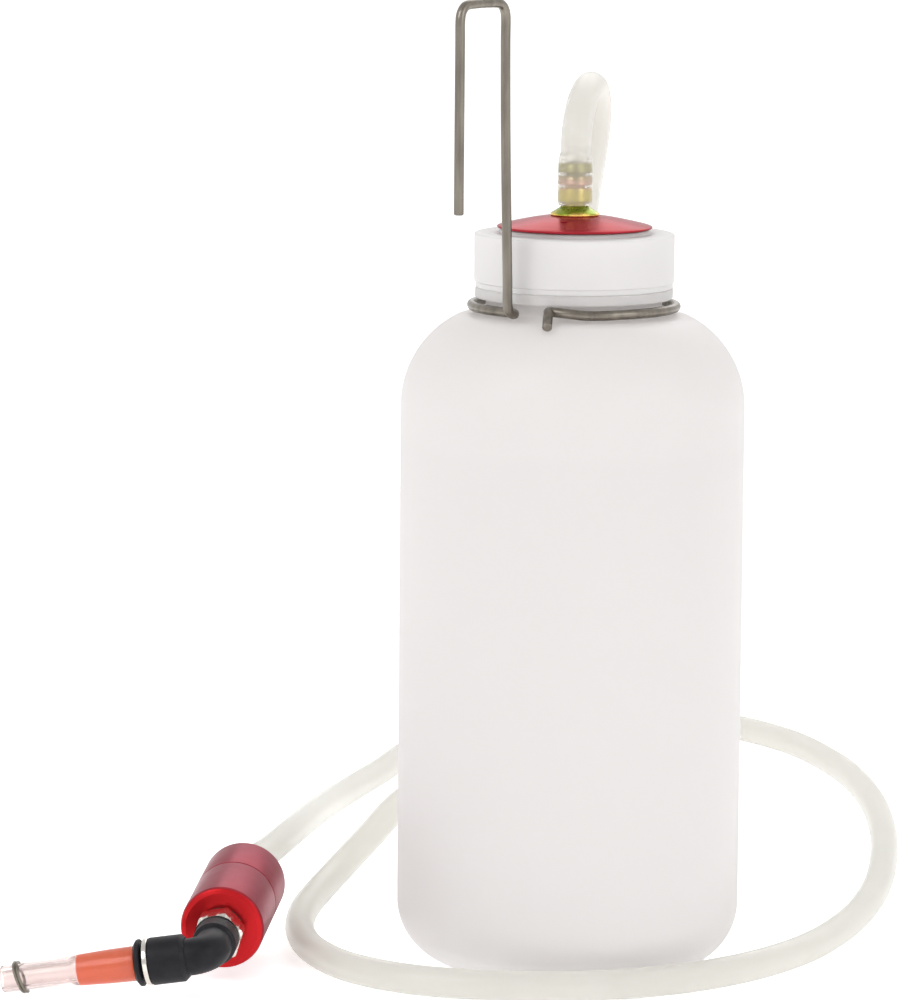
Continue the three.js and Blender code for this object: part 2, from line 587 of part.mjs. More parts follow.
function elbowBody() {
  const toMouth = mouthMatrix();
  const bend = -ELBOW_DISTANCE;
  const collarFront = HEX_FRONT - GAP;
  const outside = joined(
    turned([
      [0, collarFront - 6.2], [LEG_RADIUS + 0.1, collarFront - 6.2], [COLLAR_RADIUS, collarFront - 5.3],
      [COLLAR_RADIUS, collarFront], [0, collarFront],
    ]),
    disc(LEG_RADIUS, bend, collarFront - 5, 20),
    new THREE.SphereGeometry(LEG_RADIUS, 20, 12).translate(0, 0, bend),
    disc(LEG_RADIUS, 0, MOUTH_START + 1, 20).applyMatrix4(toMouth),
    turned([
      [0, MOUTH_START], [MOUTH_RADIUS - 1, MOUTH_START], [MOUTH_RADIUS, MOUTH_START + 1.2],
      [MOUTH_RADIUS, MOUTH_END - 0.3], [MOUTH_RADIUS - 0.3, MOUTH_END], [0, MOUTH_END],
    ]).applyMatrix4(toMouth),
  );
  return cut(
    outside,
    disc(SWIVEL_RADIUS + GAP, SWIVEL_END - 0.5, collarFront + 1, 16),
    disc(STUD_BORE, bend, SWIVEL_END, 12),
    new THREE.SphereGeometry(STUD_BORE, 12, 8).translate(0, 0, bend),
    disc(STUD_BORE, 0, TUBE_START, 12).applyMatrix4(toMouth),
    disc(TUBE_RADIUS + GAP, TUBE_START - GAP, MOUTH_END, 16).applyMatrix4(toMouth),
    disc(SOCKET_RADIUS, MOUTH_END - SOCKET_DEPTH, MOUTH_END + 1, 20).applyMatrix4(toMouth),
  );
}

place('stud_seal', ring(STUD_RADIUS + GAP, HEX_FLATS / 2 - 0.15, -1.4, -GAP), BLACK_RUBBER, valve);
place('elbow_stud', stud(), NICKEL, valve);
place('swivel_oring', oRing(SWIVEL_RADIUS - 0.15, 0.3, SWIVEL_GROOVE - 0.7), BLACK_RUBBER, valve);
place('elbow_body', elbowBody(), BLACK_PLASTIC, valve);

// ---------------------------------------------------------------- pieces in the elbow's mouth

const mouth = frameGroup(mouthMatrix(), valve);
const COLLAR_END = MOUTH_END + 1.5;
const RELEASE_FACE = COLLAR_END + 0.7;   // the release ring is pressed in across this gap
const RELEASE_END = RELEASE_FACE + 1.8;

function releaseRing() {
  const bore = TUBE_RADIUS + GAP;
  const profile = [
    [bore, MOUTH_END - 0.8], [bore + 0.8, MOUTH_END - 0.8], [bore + 0.8, RELEASE_FACE],
    [MOUTH_RADIUS - 0.5, RELEASE_FACE], [MOUTH_RADIUS, RELEASE_FACE + 0.4],
    [MOUTH_RADIUS, RELEASE_END - 0.9], [MOUTH_RADIUS - 0.5, RELEASE_END - 0.3],
    [MOUTH_RADIUS - 1.2, RELEASE_END], [bore, RELEASE_END],
  ];
  return turned(profile);
}

const collarRing = () => ring(TUBE_RADIUS + GAP + 1.1, MOUTH_RADIUS - 0.1, MOUTH_END + GAP, COLLAR_END);

function gripRing() {
  const start = MOUTH_END - 3;
  const profile = [
    [TUBE_RADIUS + GAP, start + 0.2], [SOCKET_RADIUS - GAP, start + 0.9],
    [SOCKET_RADIUS - GAP, start + 1.4], [TUBE_RADIUS + GAP, start + 0.7],
  ];
  return turned(profile, 16);
}

function nippleHose() {
  const wideBore = TUBE_RADIUS + GAP;
  const profile = [
    [wideBore, SLEEVE_START], [SLEEVE_WIDE, SLEEVE_START], [SLEEVE_WIDE - 0.15, SLEEVE_START + 7],
    [SLEEVE_RADIUS + 0.55, TUBE_END], [SLEEVE_RADIUS, TUBE_END + 5.8], [SLEEVE_RADIUS, SLEEVE_END],
    [SLEEVE_BORE, SLEEVE_END], [SLEEVE_BORE, TUBE_END + 2.4], [wideBore, TUBE_END + 0.4],
  ];
  return turned(profile, 20);
}

// Rather more than one and a half turns of thin wire round the nipple hose, leaning outwards at the top.
function wireClamp() {
  const turns = 1.6;
  const pitch = 2.4 * CLAMP_WIRE;
  const lean = Math.tan(radians(10));
  const placed = new THREE.Matrix4().makeShear(0, lean, 0, 0, 0, 0).setPosition(0, 0, CLAMP_PLACE);
  placed.multiply(new THREE.Matrix4().makeRotationZ(Math.PI));
  const coil = springCurve(SLEEVE_RADIUS + CLAMP_WIRE + 0.25, -pitch / 2, (turns - 0.5) * pitch, turns);
  return bar(coil, CLAMP_WIRE, 36, 5).applyMatrix4(placed);
}

place('tube_seal', oRing(TUBE_RADIUS + GAP + 0.5, 0.45, MOUTH_END - 4.4), BLACK_RUBBER, mouth);
place('grip_ring', gripRing(), NICKEL, mouth);
place('collar_ring', collarRing(), NICKEL, mouth);
place('release_ring', releaseRing(), BLACK_PLASTIC, mouth);
place('signal_tube', ring(TUBE_BORE, TUBE_RADIUS, TUBE_START, TUBE_END, 16), ORANGE_PLASTIC, mouth);
place('nipple_hose', nippleHose(), CLEAR_SLEEVE, mouth);
place('wire_clamp', wireClamp(), STEEL_WIRE, mouth);

export default group;
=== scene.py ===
"""Vacuum collection bottle for bleeding brakes, dressed for its picture.

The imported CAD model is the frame. Turned, bent and drawn pieces are made again here with fine
surfaces at the frame's places; lengths named *_MM are millimetres and are turned into metres by mm().
"""

import json
import math

import bmesh
import bpy
from mathutils import Matrix, Vector


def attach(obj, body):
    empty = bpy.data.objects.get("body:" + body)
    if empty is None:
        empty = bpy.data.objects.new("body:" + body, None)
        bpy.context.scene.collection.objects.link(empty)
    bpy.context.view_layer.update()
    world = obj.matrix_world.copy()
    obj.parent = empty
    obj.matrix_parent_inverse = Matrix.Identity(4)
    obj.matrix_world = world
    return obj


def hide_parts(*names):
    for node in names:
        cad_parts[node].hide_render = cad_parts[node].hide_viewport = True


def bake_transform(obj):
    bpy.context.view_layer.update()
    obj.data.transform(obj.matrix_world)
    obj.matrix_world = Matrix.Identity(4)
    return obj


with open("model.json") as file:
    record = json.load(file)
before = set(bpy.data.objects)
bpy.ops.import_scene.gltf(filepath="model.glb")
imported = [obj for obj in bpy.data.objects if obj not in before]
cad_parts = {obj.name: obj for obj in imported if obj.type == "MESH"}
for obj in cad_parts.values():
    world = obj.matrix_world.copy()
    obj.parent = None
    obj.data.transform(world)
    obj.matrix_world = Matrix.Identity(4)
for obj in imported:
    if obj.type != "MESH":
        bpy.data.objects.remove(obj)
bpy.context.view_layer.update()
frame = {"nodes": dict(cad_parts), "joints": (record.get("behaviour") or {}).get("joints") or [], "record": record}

# ---------------------------------------------------------------- places taken from the frame

MM = 1000.0  # millimetres in a metre


def mm(value):
    """Millimetres as metres."""
    return value / MM


def joint(name):
    """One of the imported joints."""
    return next(j for j in frame["joints"] if j["name"] == name)


FLOW = Vector(joint("ball_lift")["axis"]).normalized()
MOUTH_OUT = Vector(joint("tube_pull")["axis"]).normalized()
BEND = Vector(joint("elbow_swivel")["pos_m"])
ELBOW_DISTANCE = mm(23.0)  # from the elbow's corner to the valve's front face
VALVE_FRONT = BEND + FLOW * ELBOW_DISTANCE
UP = Vector((0.0, 0.0, 1.0))

# ---------------------------------------------------------------- camera

CAMERA_PLACE = Vector((0.0, -1.5, 0.330))
CAMERA_DOWN = math.radians(7.776)
CAMERA_LEFT = math.radians(1.244)
CAMERA_ROLL = math.radians(0.475)
CAMERA_LENS = 203.5
SENSOR = 36.0


def add_camera():
    """A long lens a metre and a half in front, level with the neck and looking slightly down."""
    flat = math.cos(CAMERA_DOWN)
    ahead = Vector((-math.sin(CAMERA_LEFT) * flat, math.cos(CAMERA_LEFT) * flat, -math.sin(CAMERA_DOWN)))
    right = Vector((math.cos(CAMERA_LEFT), math.sin(CAMERA_LEFT), 0.0))
    above = right.cross(ahead)
    tilted_right = right * math.cos(CAMERA_ROLL) + above * math.sin(CAMERA_ROLL)
    tilted_above = above * math.cos(CAMERA_ROLL) - right * math.sin(CAMERA_ROLL)
    data = bpy.data.cameras.new("camera")
    data.sensor_fit = "VERTICAL"
    data.sensor_height = SENSOR
    data.lens = CAMERA_LENS
    data.clip_start = 0.05
    data.clip_end = 20.0
    camera = bpy.data.objects.new("camera", data)
    bpy.context.scene.collection.objects.link(camera)
    axes = Matrix((tilted_right, tilted_above, -ahead)).transposed()
    camera.matrix_world = Matrix.Translation(CAMERA_PLACE) @ axes.to_4x4()
    bpy.context.scene.camera = camera


add_camera()

# ---------------------------------------------------------------- mesh helpers

SHARP_EDGE = 32.0  # degrees between faces
SAME_PLACE = 1e-7  # metres
FILLET_STEPS = 5
CURVE_PARTS = 24  # between two points of a route


def new_piece(name, mesh, material, body, replaced=()):
    """A finished piece on its body and the CAD nodes that it replaces."""
    piece = bpy.data.objects.new(name, mesh)
    bpy.context.scene.collection.objects.link(piece)
    mesh.materials.append(material)
    if body:
        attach(piece, body)
    if replaced:
        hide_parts(*replaced)
    return piece


def smooth(mesh, sharp):
    """Shades a mesh smooth, apart from edges sharper than an angle in degrees."""
    for polygon in mesh.polygons:
        polygon.use_smooth = True
    mesh.set_sharp_from_angle(angle=math.radians(sharp))


def finish_mesh(bm, name, sharp=SHARP_EDGE):
    """The mesh without doubled points, its faces turned outwards and smooth where it is round."""
    bmesh.ops.remove_doubles(bm, verts=bm.verts, dist=SAME_PLACE)
    bmesh.ops.recalc_face_normals(bm, faces=bm.faces)
    mesh = bpy.data.meshes.new(name)
    bm.to_mesh(mesh)
    bm.free()
    smooth(mesh, sharp)
    return mesh


def rounded(profile):
    """A profile of (radius, height) or (radius, height, fillet) points, with each fillet as an arc."""
    out = []
    count = len(profile)
    for i, point in enumerate(profile):
        if len(point) == 2:
            out.append((point[0], point[1]))
            continue
        here = Vector(point[:2])
        before = Vector(profile[i - 1][:2]) - here
        after = Vector(profile[(i + 1) % count][:2]) - here
        angle = before.angle(after)
        reach = min(point[2] / math.tan(angle / 2), 0.49 * before.length, 0.49 * after.length)
        start = here + before.normalized() * reach
        end = here + after.normalized() * reach
        for k in range(FILLET_STEPS + 1):
            t = k / FILLET_STEPS
            bend = start * (1 - t) ** 2 + here * 2 * t * (1 - t) + end * t * t
            out.append((bend.x, bend.y))
    return out


def arc(centre, radius, start, end, steps):
    """Profile points of an arc between two angles in degrees."""
    points = []
    for i in range(steps + 1):
        angle = math.radians(start + (end - start) * i / steps)
        points.append((centre[0] + radius * math.cos(angle), centre[1] + radius * math.sin(angle)))
    return points


def around(radius, angle, height):
    """A point in metres from its distance from the axis, its angle in degrees and its height."""
    turn = math.radians(angle)
    return Vector((mm(radius) * math.cos(turn), mm(radius) * math.sin(turn), mm(height)))


def square_to(direction, along):
    """The part of a direction that lies square to another, as a unit vector."""
    return (direction - along * direction.dot(along)).normalized()


class Line:
    """A straight path: at(s) gives the place s along it and two directions across it."""

    def __init__(self, start, along, across=(1.0, 0.0, 0.0)):
        self.start = Vector(start)
        self.along = Vector(along).normalized()
        self.first = square_to(Vector(across), self.along)
        self.second = self.along.cross(self.first)

    def at(self, s):
        return self.start + self.along * s, self.first, self.second


class Curve:
    """A smooth path through points, with a frame carried along it without twisting."""

    def __init__(self, points, spacing):
        dense = catmull_rom([Vector(p) for p in points], CURVE_PARTS)
        self.points = evenly(dense, spacing)
        self.spacing = (self.points[1] - self.points[0]).length
        self.length = self.spacing * (len(self.points) - 1)
        along = (self.points[1] - self.points[0]).normalized()
        guess = Vector((1.0, 0.0, 0.0)) if abs(along.x) < 0.9 else Vector((0.0, 1.0, 0.0))
        first = square_to(guess, along)
        self.frames = []
        for i, point in enumerate(self.points):
            ahead = self.points[min(i + 1, len(self.points) - 1)]
            behind = self.points[max(i - 1, 0)]
            along = (ahead - behind).normalized()
            first = square_to(first, along)
            self.frames.append((first.copy(), along.cross(first)))

    def at(self, s):
        place = min(max(s / self.spacing, 0.0), len(self.points) - 1.0)
        i = min(int(place), len(self.points) - 2)
        t = place - i
        first = self.frames[i][0].lerp(self.frames[i + 1][0], t)
        second = self.frames[i][1].lerp(self.frames[i + 1][1], t)
        return self.points[i].lerp(self.points[i + 1], t), first, second


def catmull_rom(points, parts):
    """Centripetal Catmull-Rom through the points, as the CAD's tubes follow it."""
    ends = [points[0] * 2 - points[1], *points, points[-1] * 2 - points[-2]]
    out = [points[0].copy()]
    for i in range(1, len(ends) - 2):
        p0, p1, p2, p3 = ends[i - 1 : i + 3]
        t01, t12, t23 = [max((b - a).length, 1e-9) ** 0.5 for a, b in ((p0, p1), (p1, p2), (p2, p3))]
        m1 = ((p1 - p0) / t01 - (p2 - p0) / (t01 + t12) + (p2 - p1) / t12) * t12
        m2 = ((p2 - p1) / t12 - (p3 - p1) / (t12 + t23) + (p3 - p2) / t23) * t12
        for k in range(1, parts + 1):
            t = k / parts
            h1 = 2 * t**3 - 3 * t**2 + 1
            h2 = t**3 - 2 * t**2 + t
            h3 = -2 * t**3 + 3 * t**2
            h4 = t**3 - t**2
            out.append(p1 * h1 + m1 * h2 + p2 * h3 + m2 * h4)
    return out


def evenly(points, spacing):
    """Points along the same line at one even spacing, as near as whole steps allow."""
    total = sum((b - a).length for a, b in zip(points, points[1:]))
    count = max(2, round(total / spacing))
    step = total / count
    out = [points[0].copy()]
    travelled = 0.0
    for a, b in zip(points, points[1:]):
        length = (b - a).length
        while len(out) < count and travelled + length >= step * len(out):
            out.append(a.lerp(b, (step * len(out) - travelled) / length))
        travelled += length
    out.append(points[-1].copy())
    return out


def round_point(place, radius, angle):
    """A point round a path, from what at() gives, in metres and radians."""
    centre, first, second = place
    return centre + (first * math.cos(angle) + second * math.sin(angle)) * radius


def join_rings(bm, low, high):
    """Faces between two closed rings of points. A ring of one point is a tip."""
    sides = max(len(low), len(high))
    for k in range(sides):
        n = (k + 1) % sides
        if len(low) == 1:
            bm.faces.new((low[0], high[k], high[n]))
        elif len(high) == 1:
            bm.faces.new((low[k], low[n], high[0]))
        else:
            bm.faces.new((low[k], low[n], high[n], high[k]))


def swept(name, path, profile, sides):
    """A round solid about a path. The profile is (radius, distance) points in metres. It starts and
    ends on the path, or closes on itself around a bore."""
    bm = bmesh.new()
    angles = [2 * math.pi * k / sides for k in range(sides)]
    rings = []
    for radius, distance in profile:
        place = path.at(distance)
        if radius < SAME_PLACE:
            rings.append([bm.verts.new(place[0])])
        else:
            rings.append([bm.verts.new(round_point(place, radius, a)) for a in angles])
    hollow = len(rings[0]) > 1
    for low, high in zip(rings, rings[1:] + rings[:1] if hollow else rings[1:]):
        join_rings(bm, low, high)
    return finish_mesh(bm, name)


def scaled(profile):
    """A profile in millimetres as one in metres."""
    return [tuple(mm(v) for v in point) for point in profile]


AXIS = Line((0.0, 0.0, 0.0), UP)


def turned(name, profile, sides, path=AXIS):
    """A turned mesh from a profile in millimetres."""
    return swept(name, path, rounded(scaled(profile)), sides)


def wire_profile(path, radius, edge, steps):
    """The profile of a wire along a whole path, in metres, with the edges of its cut ends broken."""
    length = path.length
    middle = [(radius, edge + (length - 2 * edge) * i / steps) for i in range(steps + 1)]
    return [(0.0, 0.0), (radius - edge, 0.0), *middle, (radius - edge, length), (0.0, length)]


def cut(piece, *tools):
    """Boolean difference, made final, and the tools removed."""
    for tool in tools:
        modifier = piece.modifiers.new("cut", "BOOLEAN")
        modifier.operation = "DIFFERENCE"
        modifier.solver = "EXACT"
        modifier.object = tool
        with bpy.context.temp_override(object=piece, active_object=piece, selected_objects=[piece]):
            bpy.ops.object.modifier_apply(modifier=modifier.name)
        bpy.data.objects.remove(tool)
    smooth(piece.data, SHARP_EDGE)


def tool_object(name, mesh):
    """An object to cut with."""
    tool = bpy.data.objects.new(name, mesh)
    bpy.context.scene.collection.objects.link(tool)
    return tool


# ---------------------------------------------------------------- materials


class Tree:
    """A node tree, with short ways to add nodes and join them."""

    def __init__(self, tree):
        self.tree = tree

    def add(self, kind, **settings):
        node = self.tree.nodes.new(kind)
        for key, value in settings.items():
            setattr(node, key, value)
        return node

    def join(self, source, target):
        self.tree.links.new(source, target)

    def maths(self, operation, *values):
        """An operation on values that are numbers or come from other nodes."""
        node = self.add("ShaderNodeMath", operation=operation)
        for target, value in zip(node.inputs, values):
            if isinstance(value, float):
                target.default_value = value
            else:
                self.join(value, target)
        return node.outputs["Value"]

    def map_range(self, source, start, end, first=0.0, last=1.0):
        """A value from start..end mapped to first..last."""
        node = self.add("ShaderNodeMapRange")
        for name, value in (("From Min", start), ("From Max", end), ("To Min", first), ("To Max", last)):
            node.inputs[name].default_value = value
        self.join(source, node.inputs["Value"])
        return node.outputs["Result"]

    def coordinate(self, source, axis):
        """One coordinate of a place or direction."""
        node = self.add("ShaderNodeSeparateXYZ")
        self.join(source, node.inputs["Vector"])
        return node.outputs[axis]


class Nodes(Tree):
    """A material's nodes round its main shader."""

    def __init__(self, name):
        self.material = bpy.data.materials.new(name)
        self.material.use_nodes = True
        super().__init__(self.material.node_tree)
        self.shader = self.tree.nodes["Principled BSDF"]
        self.coordinates = self.add("ShaderNodeTexCoord")
        self.place = self.coordinates.outputs["Object"]

    def noise(self, scale, detail=3.0, stretch=None):
        """Noise in object space; stretch squeezes it along x, y, z."""
        node = self.add("ShaderNodeTexNoise")
        node.inputs["Scale"].default_value = scale
        node.inputs["Detail"].default_value = detail
        source = self.place
        if stretch:
            mapping = self.add("ShaderNodeMapping")
            mapping.inputs["Scale"].default_value = stretch
            self.join(source, mapping.inputs["Vector"])
            source = mapping.outputs["Vector"]
        self.join(source, node.inputs["Vector"])
        return node.outputs["Fac"]

    def ramp(self, source, stops):
        """Colours at places along 0 to 1."""
        node = self.add("ShaderNodeValToRGB")
        elements = node.color_ramp.elements
        while len(elements) < len(stops):
            elements.new(0.5)
        for element, (position, colour) in zip(elements, stops):
            element.position = position
            element.color = (*colour, 1.0)
        self.join(source, node.inputs["Fac"])
        return node.outputs["Color"]

    def spread(self, source, low, high):
        """A value from 0..1 mapped to low..high."""
        return self.map_range(source, 0.0, 1.0, low, high)

    def bump(self, height, strength, distance):
        """Fine relief, with its depth in metres."""
        node = self.add("ShaderNodeBump")
        node.inputs["Strength"].default_value = strength
        node.inputs["Distance"].default_value = distance
        self.join(height, node.inputs["Height"])
        self.join(node.outputs["Normal"], self.shader.inputs["Normal"])

    def set(self, **values):
        """Plain values of the main shader's inputs."""
        for key, value in values.items():
            self.shader.inputs[key.replace("_", " ")].default_value = value

    def colour(self, source):
        self.join(source, self.shader.inputs["Base Color"])

    def roughness(self, source):
        self.join(source, self.shader.inputs["Roughness"])

    def mottle(self, scale, dark, light):
        """Faint clouds of two close colours."""
        self.colour(self.ramp(self.noise(scale), [(0.3, dark), (0.7, light)]))

    def mix(self, share, shader):
        """Mixes a second shader into the surface by a share from 0 to 1."""
        output = self.tree.nodes["Material Output"]
        before = output.inputs["Surface"].links[0].from_socket
        node = self.add("ShaderNodeMixShader")
        node.inputs["Fac"].default_value = share
        self.join(before, node.inputs[1])
        self.join(shader.outputs[0], node.inputs[2])
        self.join(node.outputs[0], output.inputs["Surface"])
        return node

    def let_through(self, share, colour):
        """Lets a share of the light through the wall, blurred."""
        milky = self.add("ShaderNodeBsdfTranslucent")
        milky.inputs["Color"].default_value = (*colour, 1.0)
        self.mix(share, milky)

    def see_through(self, share, colour, ior, haze):
        """Lets a share of the light through clear, bent as it is in the plastic."""
        bent = self.add("ShaderNodeBsdfGlass")
        bent.inputs["Color"].default_value = (*colour, 1.0)
        bent.inputs["Roughness"].default_value = haze
        bent.inputs["IOR"].default_value = ior
        return self.mix(share, bent)

    def near(self, centre, inner, outer):
        """1 within the inner distance of a place, fading to 0 at the outer distance."""
        gap = self.add("ShaderNodeVectorMath", operation="DISTANCE")
        gap.inputs[1].default_value = centre
        self.join(self.place, gap.inputs[0])
        return self.map_range(gap.outputs["Value"], outer, inner)

    def height(self, low, high, most=1.0):
        """0 below a height in millimetres, growing to its most at a higher one."""
        return self.map_range(self.coordinate(self.place, "Z"), mm(low), mm(high), 0.0, most)

    def along(self, direction):
        """How squarely the surface faces along a direction or against it, from 0 to 1."""
        dot = self.add("ShaderNodeVectorMath", operation="DOT_PRODUCT")
        dot.inputs[1].default_value = direction
        self.join(self.coordinates.outputs["Normal"], dot.inputs[0])
        return self.maths("ABSOLUTE", dot.outputs["Value"])


SHOULDER_MM = 140.0  # where the bottle's wall starts to thicken
NECK_MM = 180.0
BARB_FOOT_MM = 201.9
BARB_MIDDLE_MM = 209.5
BARB_TIP_MM = 216.0


def milky_plastic():
    """Blow-moulded polyethylene: light passes it, and it is whiter up towards the neck, partly for the thick neck
    wall and partly as painted light that lifts the shade under the cap, with faint clouds.
    """
    n = Nodes("milky_plastic")
    # Partly painted light: whiter from the shoulder up, fullest at the neck and the bead under the cap, for the
    # thicker wall there and as painted light against the shade under the cap.
    neck = n.height(SHOULDER_MM, NECK_MM, 0.8)
    clouds_and_painted_neck_light = n.maths("MULTIPLY_ADD", n.noise(14.0, 3.0, (1.0, 1.0, 0.4)), 0.2, neck)
    grey, pale, white = (0.905, 0.89, 0.885), (0.92, 0.91, 0.905), (0.98, 0.965, 0.95)
    n.colour(n.ramp(clouds_and_painted_neck_light, [(0.06, grey), (0.14, pale), (0.9, white)]))
    n.roughness(n.spread(n.noise(60.0), 0.36, 0.46))
    n.set(IOR=1.4, Subsurface_Weight=0.6, Subsurface_Scale=0.03)
    n.set(Subsurface_Radius=(1.0, 0.97, 0.95))
    n.bump(n.noise(900.0, 2.0), 0.12, 0.0002)
    n.let_through(0.45, (0.925, 0.91, 0.905))
    return n.material


def white_plastic():
    """The cap's moulding, whiter than the bottle and with a little light through its skirt."""
    n = Nodes("white_plastic")
    n.mottle(40.0, (0.73, 0.71, 0.705), (0.76, 0.74, 0.735))
    n.roughness(n.spread(n.noise(90.0), 0.4, 0.52))
    n.set(IOR=1.4, Subsurface_Weight=0.3, Subsurface_Scale=0.004)
    n.set(Subsurface_Radius=(1.0, 0.98, 0.96))
    n.bump(n.noise(1400.0, 2.0), 0.15, 0.0002)
    n.let_through(0.25, (0.82, 0.805, 0.805))
    return n.material


def red_anodised():
    """Dyed anodised aluminium with painted light and shade: painted bright on the faced-off front and darker on
    the turned sides, by which way each surface faces.
    """
    n = Nodes("red_anodised")
    # Painted light and shade: the front face, facing along the valve's axis, is painted bright, and the sides
    # facing across it are painted darker.
    face_reach, face_fade = mm(12.5), mm(1.0)
    lit_front_area = n.near(tuple(VALVE_FRONT), face_reach, face_reach + face_fade)
    front = n.maths("MULTIPLY", n.along(tuple(FLOW)), lit_front_area)
    side, edge, face = (0.235, 0.02, 0.032), (0.4, 0.014, 0.02), (0.47, 0.012, 0.015)
    n.colour(n.ramp(front, [(0.2, side), (0.6, edge), (0.9, face)]))
    n.roughness(n.spread(n.noise(250.0), 0.26, 0.36))
    n.set(Metallic=0.6, IOR=1.4, Specular_Tint=(0.66, 0.5, 0.54, 1.0))
    n.bump(n.noise(2600.0, 2.0), 0.12, 0.0001)
    return n.material


def red_dome():
    """The dome's dye is more even, and its skin a little glossier."""
    n = Nodes("red_dome")
    n.colour(n.ramp(n.noise(120.0), [(0.25, (0.36, 0.022, 0.034)), (0.75, (0.43, 0.03, 0.045))]))
    n.roughness(n.spread(n.noise(250.0), 0.2, 0.27))
    n.set(Metallic=0.5, IOR=1.3, Specular_Tint=(0.4, 0.26, 0.29, 1.0))
    n.bump(n.noise(2600.0, 2.0), 0.1, 0.0001)
    return n.material


def yellow_zinc():
    """Yellow chromate over zinc: its film goes from yellow through green and pink to olive up the barb."""
    n = Nodes("yellow_zinc")
    film = n.maths("MULTIPLY_ADD", n.noise(260.0, 2.0), 0.16, n.height(BARB_FOOT_MM, BARB_TIP_MM + 0.1))
    yellow, green, gold = (0.88, 0.6, 0.16), (0.24, 0.3, 0.03), (0.62, 0.52, 0.14)
    pink, olive = (0.66, 0.42, 0.34), (0.36, 0.33, 0.14)
    low = [(0.1, yellow), (0.15, green), (0.24, green), (0.32, gold)]
    high = [(0.55, gold), (0.66, pink), (0.85, olive)]
    n.colour(n.ramp(film, low + high))
    n.roughness(n.spread(n.noise(400.0), 0.2, 0.34))
    n.set(Metallic=0.9)
    n.bump(n.noise(3000.0, 2.0), 0.1, 0.0001)
    return n.material


def drawn_steel():
    """Dull drawn wire, with dark upright streaks."""
    n = Nodes("drawn_steel")
    streaks = n.noise(500.0, 3.0, (1.0, 1.0, 0.12))
    n.colour(n.ramp(streaks, [(0.25, (0.14, 0.124, 0.104)), (0.75, (0.25, 0.225, 0.19))]))
    n.roughness(n.spread(n.noise(700.0, 3.0, (1.0, 1.0, 0.2)), 0.26, 0.42))
    n.set(Metallic=0.95)
    n.bump(streaks, 0.25, 0.0001)
    return n.material


def nickel():
    """Bright plating, a little yellow."""
    n = Nodes("nickel")
    n.mottle(300.0, (0.62, 0.59, 0.54), (0.72, 0.69, 0.64))
    n.roughness(n.spread(n.noise(500.0), 0.14, 0.26))
    n.set(Metallic=1.0)
    n.bump(n.noise(2500.0, 2.0), 0.08, 0.0001)
    return n.material


def black_plastic():
    """The elbow's moulding, with a fine grain."""
    n = Nodes("black_plastic")
    n.mottle(300.0, (0.006, 0.006, 0.008), (0.012, 0.012, 0.015))
    n.roughness(n.spread(n.noise(500.0), 0.42, 0.56))
    n.set(IOR=1.28)
    n.bump(n.noise(2400.0, 3.0), 0.25, 0.0002)
    return n.material


def black_rubber():
    """Matt rubber of the seals."""
    n = Nodes("black_rubber")
    n.mottle(200.0, (0.012, 0.012, 0.012), (0.02, 0.02, 0.02))
    n.roughness(n.spread(n.noise(600.0), 0.65, 0.85))
    n.bump(n.noise(1800.0, 3.0), 0.2, 0.0002)
    return n.material


def clear_hose():
    """Soft milky hose, a little creamy, and clearer where it is stretched over the cap's barb."""
    n = Nodes("clear_hose")
    n.mottle(70.0, (0.81, 0.8, 0.765), (0.85, 0.84, 0.805))
    n.roughness(n.spread(n.noise(150.0), 0.3, 0.42))
    n.set(IOR=1.33, Subsurface_Weight=0.4, Subsurface_Scale=0.004)
    n.set(Subsurface_Radius=(1.0, 0.98, 0.94))
    n.bump(n.noise(500.0, 2.0), 0.1, 0.0002)
    n.let_through(0.6, (0.91, 0.905, 0.885))
    free, stretched = 0.3, 0.66
    wall = n.see_through(free, (0.97, 0.96, 0.94), 1.4, 0.16)
    over_barb = n.near((0.0, 0.0, mm(BARB_MIDDLE_MM)), mm(8.0), mm(12.0))
    n.join(n.spread(over_barb, free, stretched), wall.inputs["Fac"])
    return n.material


def clear_sleeve():
    """Nearly clear sleeve: what is inside it fills its whole width."""
    n = Nodes("clear_sleeve")
    n.mottle(70.0, (0.78, 0.745, 0.735), (0.82, 0.79, 0.78))
    n.roughness(n.spread(n.noise(150.0), 0.16, 0.28))
    n.set(IOR=1.36, Subsurface_Weight=0.3, Subsurface_Scale=0.003)
    n.set(Subsurface_Radius=(1.0, 0.98, 0.96))
    n.bump(n.noise(400.0, 2.0), 0.08, 0.0002)
    n.let_through(0.6, (0.84, 0.805, 0.8))
    n.see_through(0.9, (0.93, 0.88, 0.87), 1.42, 0.1)
    return n.material


def orange_plastic():
    """The tube's plain orange polyurethane."""
    n = Nodes("orange_plastic")
    n.mottle(60.0, (1.0, 0.14, 0.028), (1.0, 0.165, 0.036))
    n.roughness(n.spread(n.noise(200.0), 0.3, 0.42))
    n.set(Subsurface_Weight=0.2, Subsurface_Scale=0.002, IOR=1.4)
    n.set(Subsurface_Radius=(1.0, 0.4, 0.3))
    n.bump(n.noise(900.0), 0.05, 0.0002)
    return n.material


MATERIALS = {
    "milky_plastic": milky_plastic(),
    "white_plastic": white_plastic(),
    "red_anodised": red_anodised(),
    "yellow_zinc": yellow_zinc(),
    "steel_wire": drawn_steel(),
    "nickel": nickel(),
    "black_plastic": black_plastic(),
    "black_rubber": black_rubber(),
    "clear_hose": clear_hose(),
    "clear_sleeve": clear_sleeve(),
    "orange_plastic": orange_plastic(),
}


def dress_cad_nodes():
    """Every carried-over CAD node takes its slot's material."""
    slots = {part["node"]: part["material_slot"] for part in frame["record"]["subparts"]}
    for name, node in frame["nodes"].items():
        node.data.materials.clear()
        node.data.materials.append(MATERIALS[slots[name]])


dress_cad_nodes()


